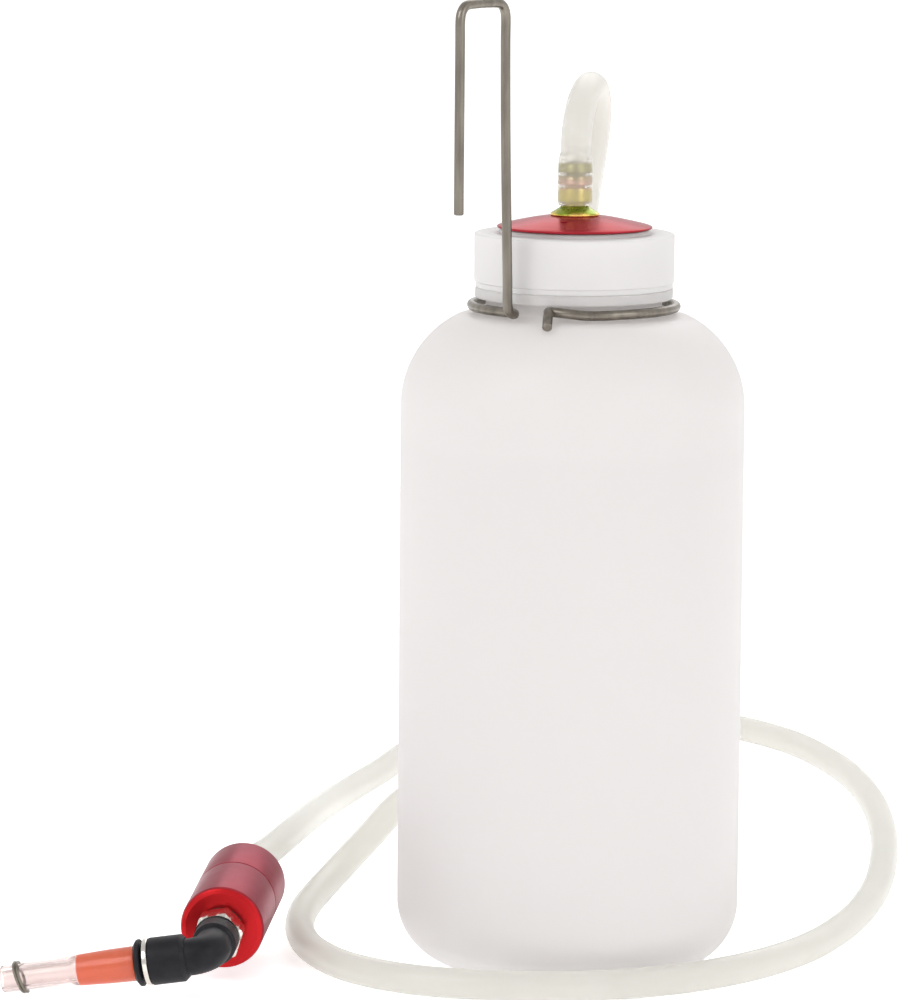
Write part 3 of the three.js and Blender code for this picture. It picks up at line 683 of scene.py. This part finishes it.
def make(name, mesh, slot, body, *replaced):
    """A finished piece with its slot's material."""
    return new_piece(name, mesh, MATERIALS[slot], body, replaced)


def make_turned(name, profile, sides, path, slot, body, *replaced):
    """A finished piece turned about a path from a profile in millimetres."""
    return make(name, turned(name, profile, sides, path), slot, body, *replaced)


# ---------------------------------------------------------------- hose

HOSE_RADIUS_MM = 4.0
HOSE_BORE_MM = 2.5
CUFF_RADIUS_MM = 4.6
CUFF_BORE_MM = 2.85
CUFF_LENGTH_MM = 11.3
CUFF_FADE_MM = 3.0
HOSE_STEP_MM = 2.5
END_STEP_MM = 0.5
END_STEPS = 35
END_ROUNDING_MM = 0.25
VALVE_LENGTH_MM = 44.0
OUTLET_GAP_MM = 0.3
OUTLET_CUFF_MM = 14.0
CUFF_FOOT_MM = 204.7
CUFF_MIDDLE_MM = 210.0

# The route, in metres: up from the cap, over behind it, down the back of the bottle, and in one
# loose turn round the bottle on the floor to the rear of the valve.
HOSE_ROUTE = [
    (0.0, 0.0, 0.2163), (0.0, 0.0, 0.2195), (0.0003, 0.0016, 0.2244), (0.0012, 0.0066, 0.23),
    (0.0026, 0.0145, 0.2336), (0.004, 0.024, 0.2347), (0.0052, 0.034, 0.2324), (0.0057, 0.043, 0.2258),
    (0.0047, 0.0495, 0.215), (0.0026, 0.0535, 0.2), (0.0017, 0.0565, 0.18), (0.0018, 0.059, 0.155),
    (0.002, 0.0615, 0.13), (0.0004, 0.0648, 0.104), (-0.0045, 0.0705, 0.078), (-0.015, 0.08, 0.056),
    (-0.031, 0.0885, 0.038), (-0.0493, 0.09, 0.0239), (-0.056, 0.089, 0.0164), (-0.0616, 0.085, 0.0108),
    (-0.0666, 0.075, 0.0068), (-0.07, 0.063, 0.0049), (-0.0724, 0.049, 0.0041),
    (-0.0734, 0.034, 0.0041), (-0.0726, 0.011, 0.004), (-0.0676, -0.012, 0.004),
    (-0.057, -0.032, 0.004), (-0.04, -0.0455, 0.004), (-0.019, -0.051, 0.004), (0.004, -0.0505, 0.004),
    (0.027, -0.042, 0.004), (0.047, -0.026, 0.004), (0.064, -0.002, 0.004), (0.077, 0.031, 0.004),
    (0.0865, 0.073, 0.004), (0.092, 0.12, 0.004), (0.0943, 0.17, 0.004), (0.0925, 0.225, 0.004),
    (0.0845, 0.276, 0.004), (0.068, 0.322, 0.004), (0.042, 0.352, 0.004), (0.008, 0.361, 0.004),
    (-0.024, 0.342, 0.004), (-0.047, 0.302, 0.004), (-0.0594, 0.253, 0.004), (-0.0649, 0.2308, 0.0042),
    (-0.0699, 0.2028, 0.0056), (-0.0739, 0.1548, 0.0106), (-0.0772, 0.1024, 0.0161),
    (-0.0788, 0.074, 0.0191), (-0.0826, 0.0443, 0.0204), (-0.0861, 0.0305, 0.0201),
]


def add_hose():
    """One hollow hose from barb to barb, stretched wider where it sits on each of them."""
    outlet_face = VALVE_FRONT + FLOW * mm(VALVE_LENGTH_MM + OUTLET_GAP_MM)
    outlet_tip = outlet_face + FLOW * mm(OUTLET_CUFF_MM)
    cap_end = [(0.0, 0.0, mm(CUFF_FOOT_MM)), (0.0, 0.0, mm(CUFF_MIDDLE_MM))]
    path = Curve([*cap_end, *HOSE_ROUTE, outlet_tip, outlet_face], mm(HOSE_STEP_MM))
    total = path.length
    cuff = mm(CUFF_LENGTH_MM)
    along = [i * path.spacing for i in range(len(path.points))]
    near_end = [mm(END_STEP_MM) * k for k in range(1, END_STEPS + 1)]
    stations = sorted({*along, *near_end, *[total - s for s in near_end]})

    def stretched(s):
        """1 on the cuffs, fading to 0 on the free hose."""
        t = min(max((min(s, total - s) - cuff) / mm(CUFF_FADE_MM), 0.0), 1.0)
        return 1.0 - t * t * (3 - 2 * t)

    def radius(s, free, cuffed, rounding):
        """The hose's outer or inner radius at a place, with its cut ends rounded."""
        end = max(0.0, 1.0 - min(s, total - s) / mm(END_STEP_MM)) ** 2
        return mm(free + (cuffed - free) * stretched(s) - rounding * end)

    outer = [(radius(s, HOSE_RADIUS_MM, CUFF_RADIUS_MM, END_ROUNDING_MM), s) for s in stations]
    inner = [(radius(s, HOSE_BORE_MM, CUFF_BORE_MM, -END_ROUNDING_MM), s) for s in reversed(stations)]
    mesh = swept("hose", path, outer + inner, 32)
    hose = make("hose", mesh, "clear_hose", None, "hose_riser", "hose_floor", "barb_cuff", "outlet_cuff")
    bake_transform(hose)


add_hose()

# ---------------------------------------------------------------- bottle and cap

BOTTLE_RADIUS_MM = 46.0
BOTTLE_WALL_MM = 1.4
THREAD_PITCH_MM = 4.0
THREAD_START_MM = 185.2
THREAD_TURNS = 1.5
THREAD_STEPS = 72  # a turn
THREAD_FADE = 8  # steps at each end
ROOT_HALF_MM = 0.8
CREST_HALF_MM = 0.35


def thread(name, root, crest, first_turn):
    """The mesh of a screw thread's ridge, from its root's radius to its crest's, with low ends."""
    bm = bmesh.new()
    count = int(THREAD_TURNS * THREAD_STEPS)
    rows = []
    for i in range(count + 1):
        angle = 360 * (first_turn + i / THREAD_STEPS)
        height = THREAD_START_MM + THREAD_PITCH_MM * i / THREAD_STEPS
        fade = 0.1 + 0.9 * min(1.0, i / THREAD_FADE, (count - i) / THREAD_FADE)
        reach = root + (crest - root) * fade
        section = [
            (root, -ROOT_HALF_MM), (reach, -CREST_HALF_MM), (reach, CREST_HALF_MM), (root, ROOT_HALF_MM),
        ]
        rows.append([bm.verts.new(around(r, angle, height + z)) for r, z in section])
    for low, high in zip(rows, rows[1:]):
        join_rings(bm, low, high)
    bm.faces.new(rows[0])
    bm.faces.new(list(reversed(rows[-1])))
    return finish_mesh(bm, name)


def add_bottle():
    """The bottle as one wall, with its base groove, its bead under the cap and its thread."""
    r, w = BOTTLE_RADIUS_MM, BOTTLE_WALL_MM
    corner, shoulder = 17.0, 27.0
    shoulder_start, end_angle = 151.0, 63.6
    profile = [
        (0.0, 0.0), (18.0, 0.0), (19.0, 0.8, 0.6), (23.0, 0.8, 0.6), (24.0, 0.0, 0.5),
        *arc((r - corner, corner), corner, -90, 0, 20),
        *arc((r - shoulder, shoulder_start), shoulder, 0, end_angle, 24),
        (26.0, 175.9, 1.5), (23.5, 176.8, 1.2), (23.5, 180.0, 0.5), (26.4, 180.0, 0.6), (26.4, 182.9, 0.6),
        (23.5, 182.9, 0.4), (23.5, 194.2, 0.5), (21.2, 194.2, 0.3), (21.2, 174.6, 2.0),
        *arc((r - shoulder, shoulder_start), shoulder - w, end_angle - 6, 0, 20),
        *arc((r - corner, corner + w), corner - w, 0, -90, 14),
        (0.0, 2 * w),
    ]
    make_turned("bottle_shell", profile, 160, AXIS, "milky_plastic", "bottle_body", "bottle")
    ridge = thread("bottle_thread", root=23.3, crest=24.6, first_turn=0.0)
    make("bottle_thread", ridge, "milky_plastic", "bottle_body")


def add_cap():
    """The cap, with its skirt's lip and the thread inside it."""
    profile = [
        (3.4, 195.7), (25.2, 195.7, 0.5), (25.2, 183.4, 0.2), (25.6, 182.95), (26.3, 182.95, 0.2),
        (26.3, 184.2, 0.15), (26.7, 184.6, 0.15), (26.7, 197.3, 0.7), (20.2, 197.3, 0.3),
        (19.8, 198.4, 0.3), (3.4, 198.4),
    ]
    make_turned("cap_shell", profile, 144, AXIS, "white_plastic", "cap", "screw_cap")
    ridge = thread("cap_thread", root=25.4, crest=23.9, first_turn=0.5)
    make("cap_thread", ridge, "white_plastic", "cap")


DOME_RADIUS_MM = 20.7
DOME_HUB_MM = 6.8
DOME_TOP_MM = 201.9
DOME_RIM_TOP_MM = 199.2
DOME_STEPS = 24
DRILL_START_MM = 196.0
DRILL_LENGTH_MM = 7.0
VENT_RADIUS_MM = 0.9
VENT_CIRCLE_MM = 12.5
VENT_ANGLES = (-103, 54, 128)


def dome_height(radius):
    """Height of the dome's top: flat in the middle, then ever steeper towards the rim."""
    part = max(0.0, radius - DOME_HUB_MM) / (DOME_RADIUS_MM - DOME_HUB_MM)
    return DOME_TOP_MM - (DOME_TOP_MM - DOME_RIM_TOP_MM) * part**1.3


def add_dome():
    """A shallow dome of anodised aluminium with a thin rim and three vents."""
    edge = DOME_RADIUS_MM - 1.0
    slope = [edge + (DOME_HUB_MM - edge) * i / DOME_STEPS for i in range(DOME_STEPS + 1)]
    rim = DOME_RADIUS_MM
    profile = [
        (3.4, DOME_RIM_TOP_MM), (18.3, DOME_RIM_TOP_MM, 0.2), (18.5, 198.6), (20.5, 198.6, 0.12),
        (rim, 198.78, 0.1), (rim, 199.05, 0.1), (20.45, DOME_RIM_TOP_MM, 0.1),
        *[(r, dome_height(r)) for r in slope], (3.4, DOME_TOP_MM),
    ]
    mesh = turned("dome_disc", profile, 144)
    dome = new_piece("dome_disc", mesh, red_dome(), "cap_fitting", ("vent_dome",))
    drill = scaled([(0, 0), (VENT_RADIUS_MM, 0), (VENT_RADIUS_MM, DRILL_LENGTH_MM), (0, DRILL_LENGTH_MM)])
    drills = []
    for angle in VENT_ANGLES:
        place = Line(around(VENT_CIRCLE_MM, angle, DRILL_START_MM), UP)
        drills.append(tool_object("drill", swept("drill", place, drill, 24)))
    cut(dome, *drills)


def barb_ridges(spans, root=2.7, crest=3.5):
    """Profile points of a row of barbs, each widest at its foot and stepped in at its end."""
    points = []
    for foot, end in spans:
        points += [(root, foot - 0.15), (crest, foot, 0.12), (crest - 0.4, end, 0.12), (root, end + 0.1)]
    return points


def add_barb():
    """The cap's hose barb, with its round flange."""
    profile = [
        (1.6, 188.5), (2.6, 188.5), (3.0, 188.9), (3.0, 201.95), (6.3, 201.95, 0.1), (6.5, 202.15, 0.15),
        (6.5, 202.6, 0.2), (4.2, 204.0, 0.8), (3.6, 204.5, 0.2), (2.7, 204.65, 0.1),
        *barb_ridges(((205.7, 209.3), (210.2, 212.5), (213.4, 215.8))),
        (2.4, BARB_TIP_MM, 0.1), (1.6, BARB_TIP_MM),
    ]
    make_turned("barb_turned", profile, 64, AXIS, "yellow_zinc", "cap_fitting", "hose_barb")


add_bottle()
add_cap()
add_dome()
add_barb()

# ---------------------------------------------------------------- hanger

WIRE_RADIUS_MM = 1.3
WIRE_EDGE_MM = 0.25
WIRE_STEP_MM = 0.5
RING_RADIUS_MM = 27.2
RING_HEIGHT_MM = 177.9
HOOK_ANGLE = -122.5
STEM_RADIUS_MM = 34.4
STEM_FOOT_RADIUS_MM = 32.2
HOOK_WIDTH_MM = 21.3
HOOK_TOP_MM = 259.6
HOOK_TIP_MM = 205.6
HOOK_CORNER_MM = 4.0
FREE_LEG_ANGLE = -104.0
RING_STEPS = 32
RING_GAP = 10.0  # degrees from the stem to where the ring is round
RING_FADE = 24.0  # degrees over which the ring rises to its free leg
RING_RISE_MM = 0.8
RING_DIP_MM = 0.2
RING_DIP_WIDTH = 10.0  # degrees


def add_hanger():
    """One bent wire: hook arm, top, stem, a tight fold, the neck ring and its free leg."""
    arm = STEM_RADIUS_MM + HOOK_WIDTH_MM
    stem, foot = STEM_RADIUS_MM, STEM_FOOT_RADIUS_MM
    ring, level = RING_RADIUS_MM, RING_HEIGHT_MM
    corner_height = HOOK_TOP_MM - HOOK_CORNER_MM
    outer_corner = arc((arm - HOOK_CORNER_MM, corner_height), HOOK_CORNER_MM, 0, 90, 4)
    inner_corner = arc((stem + HOOK_CORNER_MM, corner_height), HOOK_CORNER_MM, 90, 180, 4)
    # Distance from the axis, degrees past the hook's angle, and height.
    hook = [
        (arm, 0, HOOK_TIP_MM), (arm, 0, 228), (arm, 0, corner_height - 6),
        *[(r, 0, z) for r, z in outer_corner + inner_corner],
        (stem, 0, corner_height - 6), (stem - 0.4, 0, 228), (stem - 1.2, 0, 205), (foot + 0.2, 0, 186),
        (foot, 0, level + 2.6), (foot - 0.6, 0.3, level + 0.7), (foot - 2.2, 0.6, level),
        (ring + 1.5, -0.4, level), (ring + 0.4, -3.6, level),
    ]
    points = [around(r, HOOK_ANGLE + past, z) for r, past, z in hook]
    span = HOOK_ANGLE - RING_GAP + 360 - FREE_LEG_ANGLE
    for i in range(RING_STEPS + 1):
        to_end = span * (RING_STEPS - i) / RING_STEPS
        dip = RING_DIP_MM * math.exp(-(((to_end - RING_FADE) / RING_DIP_WIDTH) ** 2))
        lift = RING_RISE_MM * max(0.0, 1 - to_end / RING_FADE) - dip
        points.append(around(ring, FREE_LEG_ANGLE + to_end, level + lift))
    points += [
        around(ring + 1.4, FREE_LEG_ANGLE + 0.8, level + RING_RISE_MM - 0.1),
        around(ring + 3.8, FREE_LEG_ANGLE + 1.4, level - 0.6),
        around(ring + 7.5, FREE_LEG_ANGLE + 2.5, level - 2.6),
    ]
    path = Curve(points, mm(WIRE_STEP_MM))
    profile = wire_profile(path, mm(WIRE_RADIUS_MM), mm(WIRE_EDGE_MM), len(path.points))
    make("hanger_bent", swept("hanger_bent", path, profile, 24), "steel_wire", "hanger_wire", "hanger")


add_hanger()

# ---------------------------------------------------------------- one-way valve

VALVE = Line(VALVE_FRONT, FLOW, UP)
VALVE_RADIUS_MM = 11.15
SEAM_MM = 24.4
SEAM_GAP_MM = 0.3


def add_valve():
    """The valve's front and rear parts, with the seam between them, and its outlet barb."""
    r = VALVE_RADIUS_MM
    body = [
        (5.2, 0.0), (r - 1.5, 0.0, 0.4), (r - 0.3, 0.5, 0.6), (r, 1.4, 0.4), (r, SEAM_MM, 0.25),
        (7.5, SEAM_MM), (7.5, 4.5), (5.2, 4.5),
    ]
    make_turned("valve_front", body, 96, VALVE, "red_anodised", "bottle_body", "valve_body")
    seam_end, end = SEAM_MM + SEAM_GAP_MM, VALVE_LENGTH_MM
    rear = [
        (4.9, 18.2), (7.2, 18.2), (7.2, 20.2), (6.0, 20.2), (6.0, 21.8), (7.2, 21.8), (7.2, seam_end),
        (r, seam_end, 0.25), (r, end, 0.9), (3.3, end), (3.3, 37.0), (4.9, 37.0),
    ]
    make_turned("valve_rear", rear, 96, VALVE, "red_anodised", "bottle_body", "valve_cap")
    barb = [
        (1.6, 38.5), (3.0, 38.5), (3.0, end),
        *barb_ridges(((46.4, 49.6), (50.4, 53.6), (54.4, 57.6))), (2.4, 58.0, 0.2), (1.6, 58.0),
    ]
    make_turned("outlet_turned", barb, 48, VALVE, "yellow_zinc", "bottle_body", "outlet_barb")


HEX_FLATS_MM = 12.2
HEX_LOW_MM = -8.3
HEX_HIGH_MM = -1.7
HEX_BORE_MM = 4.95
HEX_CHAMFER_MM = 0.55
HEX_TWIST = math.radians(-12.6)
HEX_POINTS = 96


def add_stud():
    """The nickel stud that the elbow swivels on."""
    shank = [
        (2.4, -16.6), (3.6, -16.6, 0.2), (3.6, -15.0), (2.8, -15.0), (2.8, -13.6), (3.6, -13.6),
        (3.6, -8.1), (4.9, -7.9), (4.9, 4.2), (2.4, 4.2),
    ]
    make_turned("stud_shank", shank, 48, VALVE, "nickel", "bottle_body", "elbow_stud")


def add_hexagon():
    """The stud's hexagon, its corners turned round at both faces."""
    flat = HEX_FLATS_MM / 2
    face = flat + 0.05
    corner = HEX_FLATS_MM / math.sqrt(3) - 0.12
    sections = [
        (HEX_BORE_MM, HEX_LOW_MM), (face, HEX_LOW_MM), (corner, HEX_LOW_MM + HEX_CHAMFER_MM),
        (corner, HEX_HIGH_MM - HEX_CHAMFER_MM), (face, HEX_HIGH_MM), (HEX_BORE_MM, HEX_HIGH_MM),
    ]
    bm = bmesh.new()
    rings = []
    for limit, height in sections:
        ring = []
        for k in range(HEX_POINTS):
            angle = 2 * math.pi * k / HEX_POINTS
            from_flat = (angle + math.pi / 6) % (math.pi / 3) - math.pi / 6
            radius = min(flat / math.cos(from_flat), limit)
            ring.append(bm.verts.new(round_point(VALVE.at(mm(height)), mm(radius), angle + HEX_TWIST)))
        rings.append(ring)
    for low, high in zip(rings, rings[1:] + rings[:1]):
        join_rings(bm, low, high)
    make("stud_hexagon", finish_mesh(bm, "stud_hexagon", 20), "nickel", "bottle_body")


add_valve()
add_stud()
add_hexagon()

# ---------------------------------------------------------------- elbow and its tube


class ElbowPath:
    """Along the stud's axis away from the valve, round the bend, and out along the mouth."""

    def __init__(self, bend_radius):
        self.radius = bend_radius
        self.turn = math.radians(90)
        self.tangent = bend_radius * math.tan(self.turn / 2)
        self.side = square_to(MOUTH_OUT, -FLOW)
        self.second = (-FLOW).cross(self.side)
        self.arc_start = ELBOW_DISTANCE - self.tangent
        self.arc_end = self.arc_start + self.radius * self.turn

    def at(self, s):
        out = -FLOW
        if s <= self.arc_start:
            return VALVE_FRONT + out * s, self.side, self.second
        angle = min((s - self.arc_start) / self.radius, self.turn)
        start = VALVE_FRONT + out * self.arc_start
        along = out * math.cos(angle) + self.side * math.sin(angle)
        across = self.side * math.cos(angle) - out * math.sin(angle)
        place = start + (out * math.sin(angle) + self.side * (1 - math.cos(angle))) * self.radius
        if s > self.arc_end:
            place += along * (s - self.arc_end)
        return place, across, self.second

    def mouth(self, distance):
        """The path's length at a distance out from the bend's corner."""
        return self.arc_end + distance - self.tangent


ELBOW_BEND_MM = 5.2
ELBOW_STEPS = 16
ELBOW = ElbowPath(mm(ELBOW_BEND_MM))
MOUTH = Line(BEND, MOUTH_OUT, UP)


def add_elbow():
    """The elbow's body: its socket round the stud, the bend, and the wider mouth."""

    def m(distance):
        """The path's length, in millimetres, at a distance out along the mouth."""
        return ELBOW.mouth(mm(distance)) * MM

    start, end = ELBOW.arc_start * MM, ELBOW.arc_end * MM
    stations = [start + (end - start) * i / ELBOW_STEPS for i in range(ELBOW_STEPS + 1)]
    profile = [
        (3.9, 8.6), (5.85, 8.6, 0.3), (5.85, 13.9, 0.4), (5.0, 14.8, 0.3), (4.9, 15.2, 0.3),
        *[(4.9, s) for s in stations], (4.9, m(5.6), 0.1), (5.25, m(5.65), 0.15),
        (6.25, m(6.8), 0.4), (6.25, m(15.3), 0.3), (5.05, m(15.3)), (5.05, m(8.9)), (3.5, m(8.9)),
        (3.5, m(6.3)), (2.4, m(6.3)),
        *[(2.4, s) for s in reversed(stations)], (2.4, 17.1), (3.9, 17.1),
    ]
    make_turned("elbow_shell", profile, 72, ELBOW, "black_plastic", "elbow", "elbow_body")


NIPPLE_RADIUS_MM = 3.55
CLAMP_PLACE_MM = 50.1
CLAMP_WIRE_MM = 0.4
CLAMP_EDGE_MM = 0.1
CLAMP_GAP_MM = 0.05
CLAMP_PITCH_MM = 2.1 * CLAMP_WIRE_MM
CLAMP_TURNS = 1.6
CLAMP_STEPS = 24  # a turn
CLAMP_RINGS = 90
CLAMP_LEAN = math.radians(10)


def add_mouth_pieces():
    """What sits in and on the elbow's mouth: collar, release ring, tube and nipple hose."""
    collar = [(4.6, 15.5), (6.15, 15.5, 0.25), (6.15, 16.8, 0.25), (4.6, 16.8)]
    make_turned("collar_turned", collar, 72, MOUTH, "nickel", "elbow", "collar_ring")
    release = [
        (3.5, 14.5), (4.3, 14.5), (4.3, 17.5), (5.7, 17.5, 0.2), (6.2, 17.8, 0.3), (6.2, 18.6, 0.6),
        (5.2, 19.3, 0.6), (3.5, 19.3, 0.3),
    ]
    make_turned("release_turned", release, 72, MOUTH, "black_plastic", "release", "release_ring")
    tube = [(2.1, 6.6), (3.2, 6.6, 0.1), (3.2, 34.9, 0.2), (2.1, 34.9, 0.1)]
    make_turned("tube_drawn", tube, 48, MOUTH, "orange_plastic", "tube", "signal_tube")
    nipple = [
        (3.12, 19.6, 0.1), (4.65, 19.6, 0.3), (4.5, 26.6, 4.0), (4.1, 34.9, 2.0),
        (NIPPLE_RADIUS_MM, 40.7, 3.0), (NIPPLE_RADIUS_MM, 55.3, 0.25),
        (2.2, 55.3, 0.2), (2.2, 37.3, 1.0), (3.12, 35.1, 0.8),
    ]
    make_turned("nipple_drawn", nipple, 64, MOUTH, "clear_sleeve", "nipple", "nipple_hose")


def add_wire_clamp():
    """Over one and a half turns of thin wire round the nipple hose, leaning outwards at the top."""
    centre, first, second = MOUTH.at(mm(CLAMP_PLACE_MM))
    reach = NIPPLE_RADIUS_MM + CLAMP_WIRE_MM + CLAMP_GAP_MM
    points = []
    for i in range(int(CLAMP_TURNS * CLAMP_STEPS) + 1):
        turn = i / CLAMP_STEPS
        angle = math.pi + 2 * math.pi * turn
        x, y = reach * math.cos(angle), reach * math.sin(angle)
        z = CLAMP_PITCH_MM * (turn - 0.5) + x * math.tan(CLAMP_LEAN)
        points.append(centre + first * mm(x) + second * mm(y) + MOUTH_OUT * mm(z))
    path = Curve(points, mm(WIRE_STEP_MM))
    profile = wire_profile(path, mm(CLAMP_WIRE_MM), mm(CLAMP_EDGE_MM), CLAMP_RINGS)
    make("clamp_bent", swept("clamp_bent", path, profile, 16), "steel_wire", "clamp", "wire_clamp")


add_elbow()
add_mouth_pieces()
add_wire_clamp()

# ---------------------------------------------------------------- floor and lights

FLOOR_HALF = 6.0
FLOOR_DROP_MM = 0.2  # so that it doesn't touch the bottle's base
LIT_PLACE = (0.0, 0.0, 0.12)
# Name, place and size in metres, and power in watts.
LIGHTS = (
    ("key", (-0.9, -1.0, 1.1), 0.9, 9.0),
    ("fill", (1.2, -0.8, 0.8), 1.0, 6.0),
    ("back", (0.2, 1.4, 1.2), 1.2, 8.0),
)


def add_floor():
    """White paper that glows a little, so that it shows as white as the backdrop."""
    bm = bmesh.new()
    bmesh.ops.create_grid(bm, x_segments=1, y_segments=1, size=FLOOR_HALF)
    mesh = bpy.data.meshes.new("floor")
    bm.to_mesh(mesh)
    bm.free()
    n = Nodes("floor_paper")
    n.mottle(3.0, (0.93, 0.93, 0.93), (0.95, 0.95, 0.95))
    n.set(Roughness=0.9, Emission_Color=(1.0, 1.0, 1.0, 1.0), Emission_Strength=0.5)
    mesh.materials.append(n.material)
    floor = bpy.data.objects.new("floor", mesh)
    floor.location.z = -mm(FLOOR_DROP_MM)
    bpy.context.scene.collection.objects.link(floor)


def add_light(name, place, size, power):
    """A soft square light, turned towards the object."""
    data = bpy.data.lights.new(name, "AREA")
    data.shape = "SQUARE"
    data.size = size
    data.energy = power
    light = bpy.data.objects.new(name, data)
    light.location = place
    light.rotation_euler = (Vector(LIT_PLACE) - Vector(place)).to_track_quat("-Z", "Y").to_euler()
    bpy.context.scene.collection.objects.link(light)


def add_studio():
    """A white backdrop that lights less from the front and overhead, and three large soft lights."""
    world = bpy.data.worlds.new("studio")
    bpy.context.scene.world = world
    world.use_nodes = True
    sky = Tree(world.node_tree)
    direction = sky.add("ShaderNodeTexCoord").outputs["Generated"]
    to_back = sky.map_range(sky.coordinate(direction, "Y"), -0.75, -0.05, 0.8, 1.05)
    to_top = sky.map_range(sky.coordinate(direction, "Z"), 0.35, 0.95, 1.0, 0.7)
    light = sky.maths("MULTIPLY", to_back, to_top)
    seen = sky.add("ShaderNodeLightPath").outputs["Is Camera Ray"]
    background = sky.tree.nodes["Background"]
    background.inputs["Color"].default_value = (1.0, 1.0, 1.0, 1.0)
    sky.join(sky.maths("MAXIMUM", light, seen), background.inputs["Strength"])
    for name, place, size, power in LIGHTS:
        add_light(name, place, size, power)
    view = bpy.context.scene.view_settings
    view.view_transform = "Standard"
    view.look = "None"


add_floor()
add_studio()
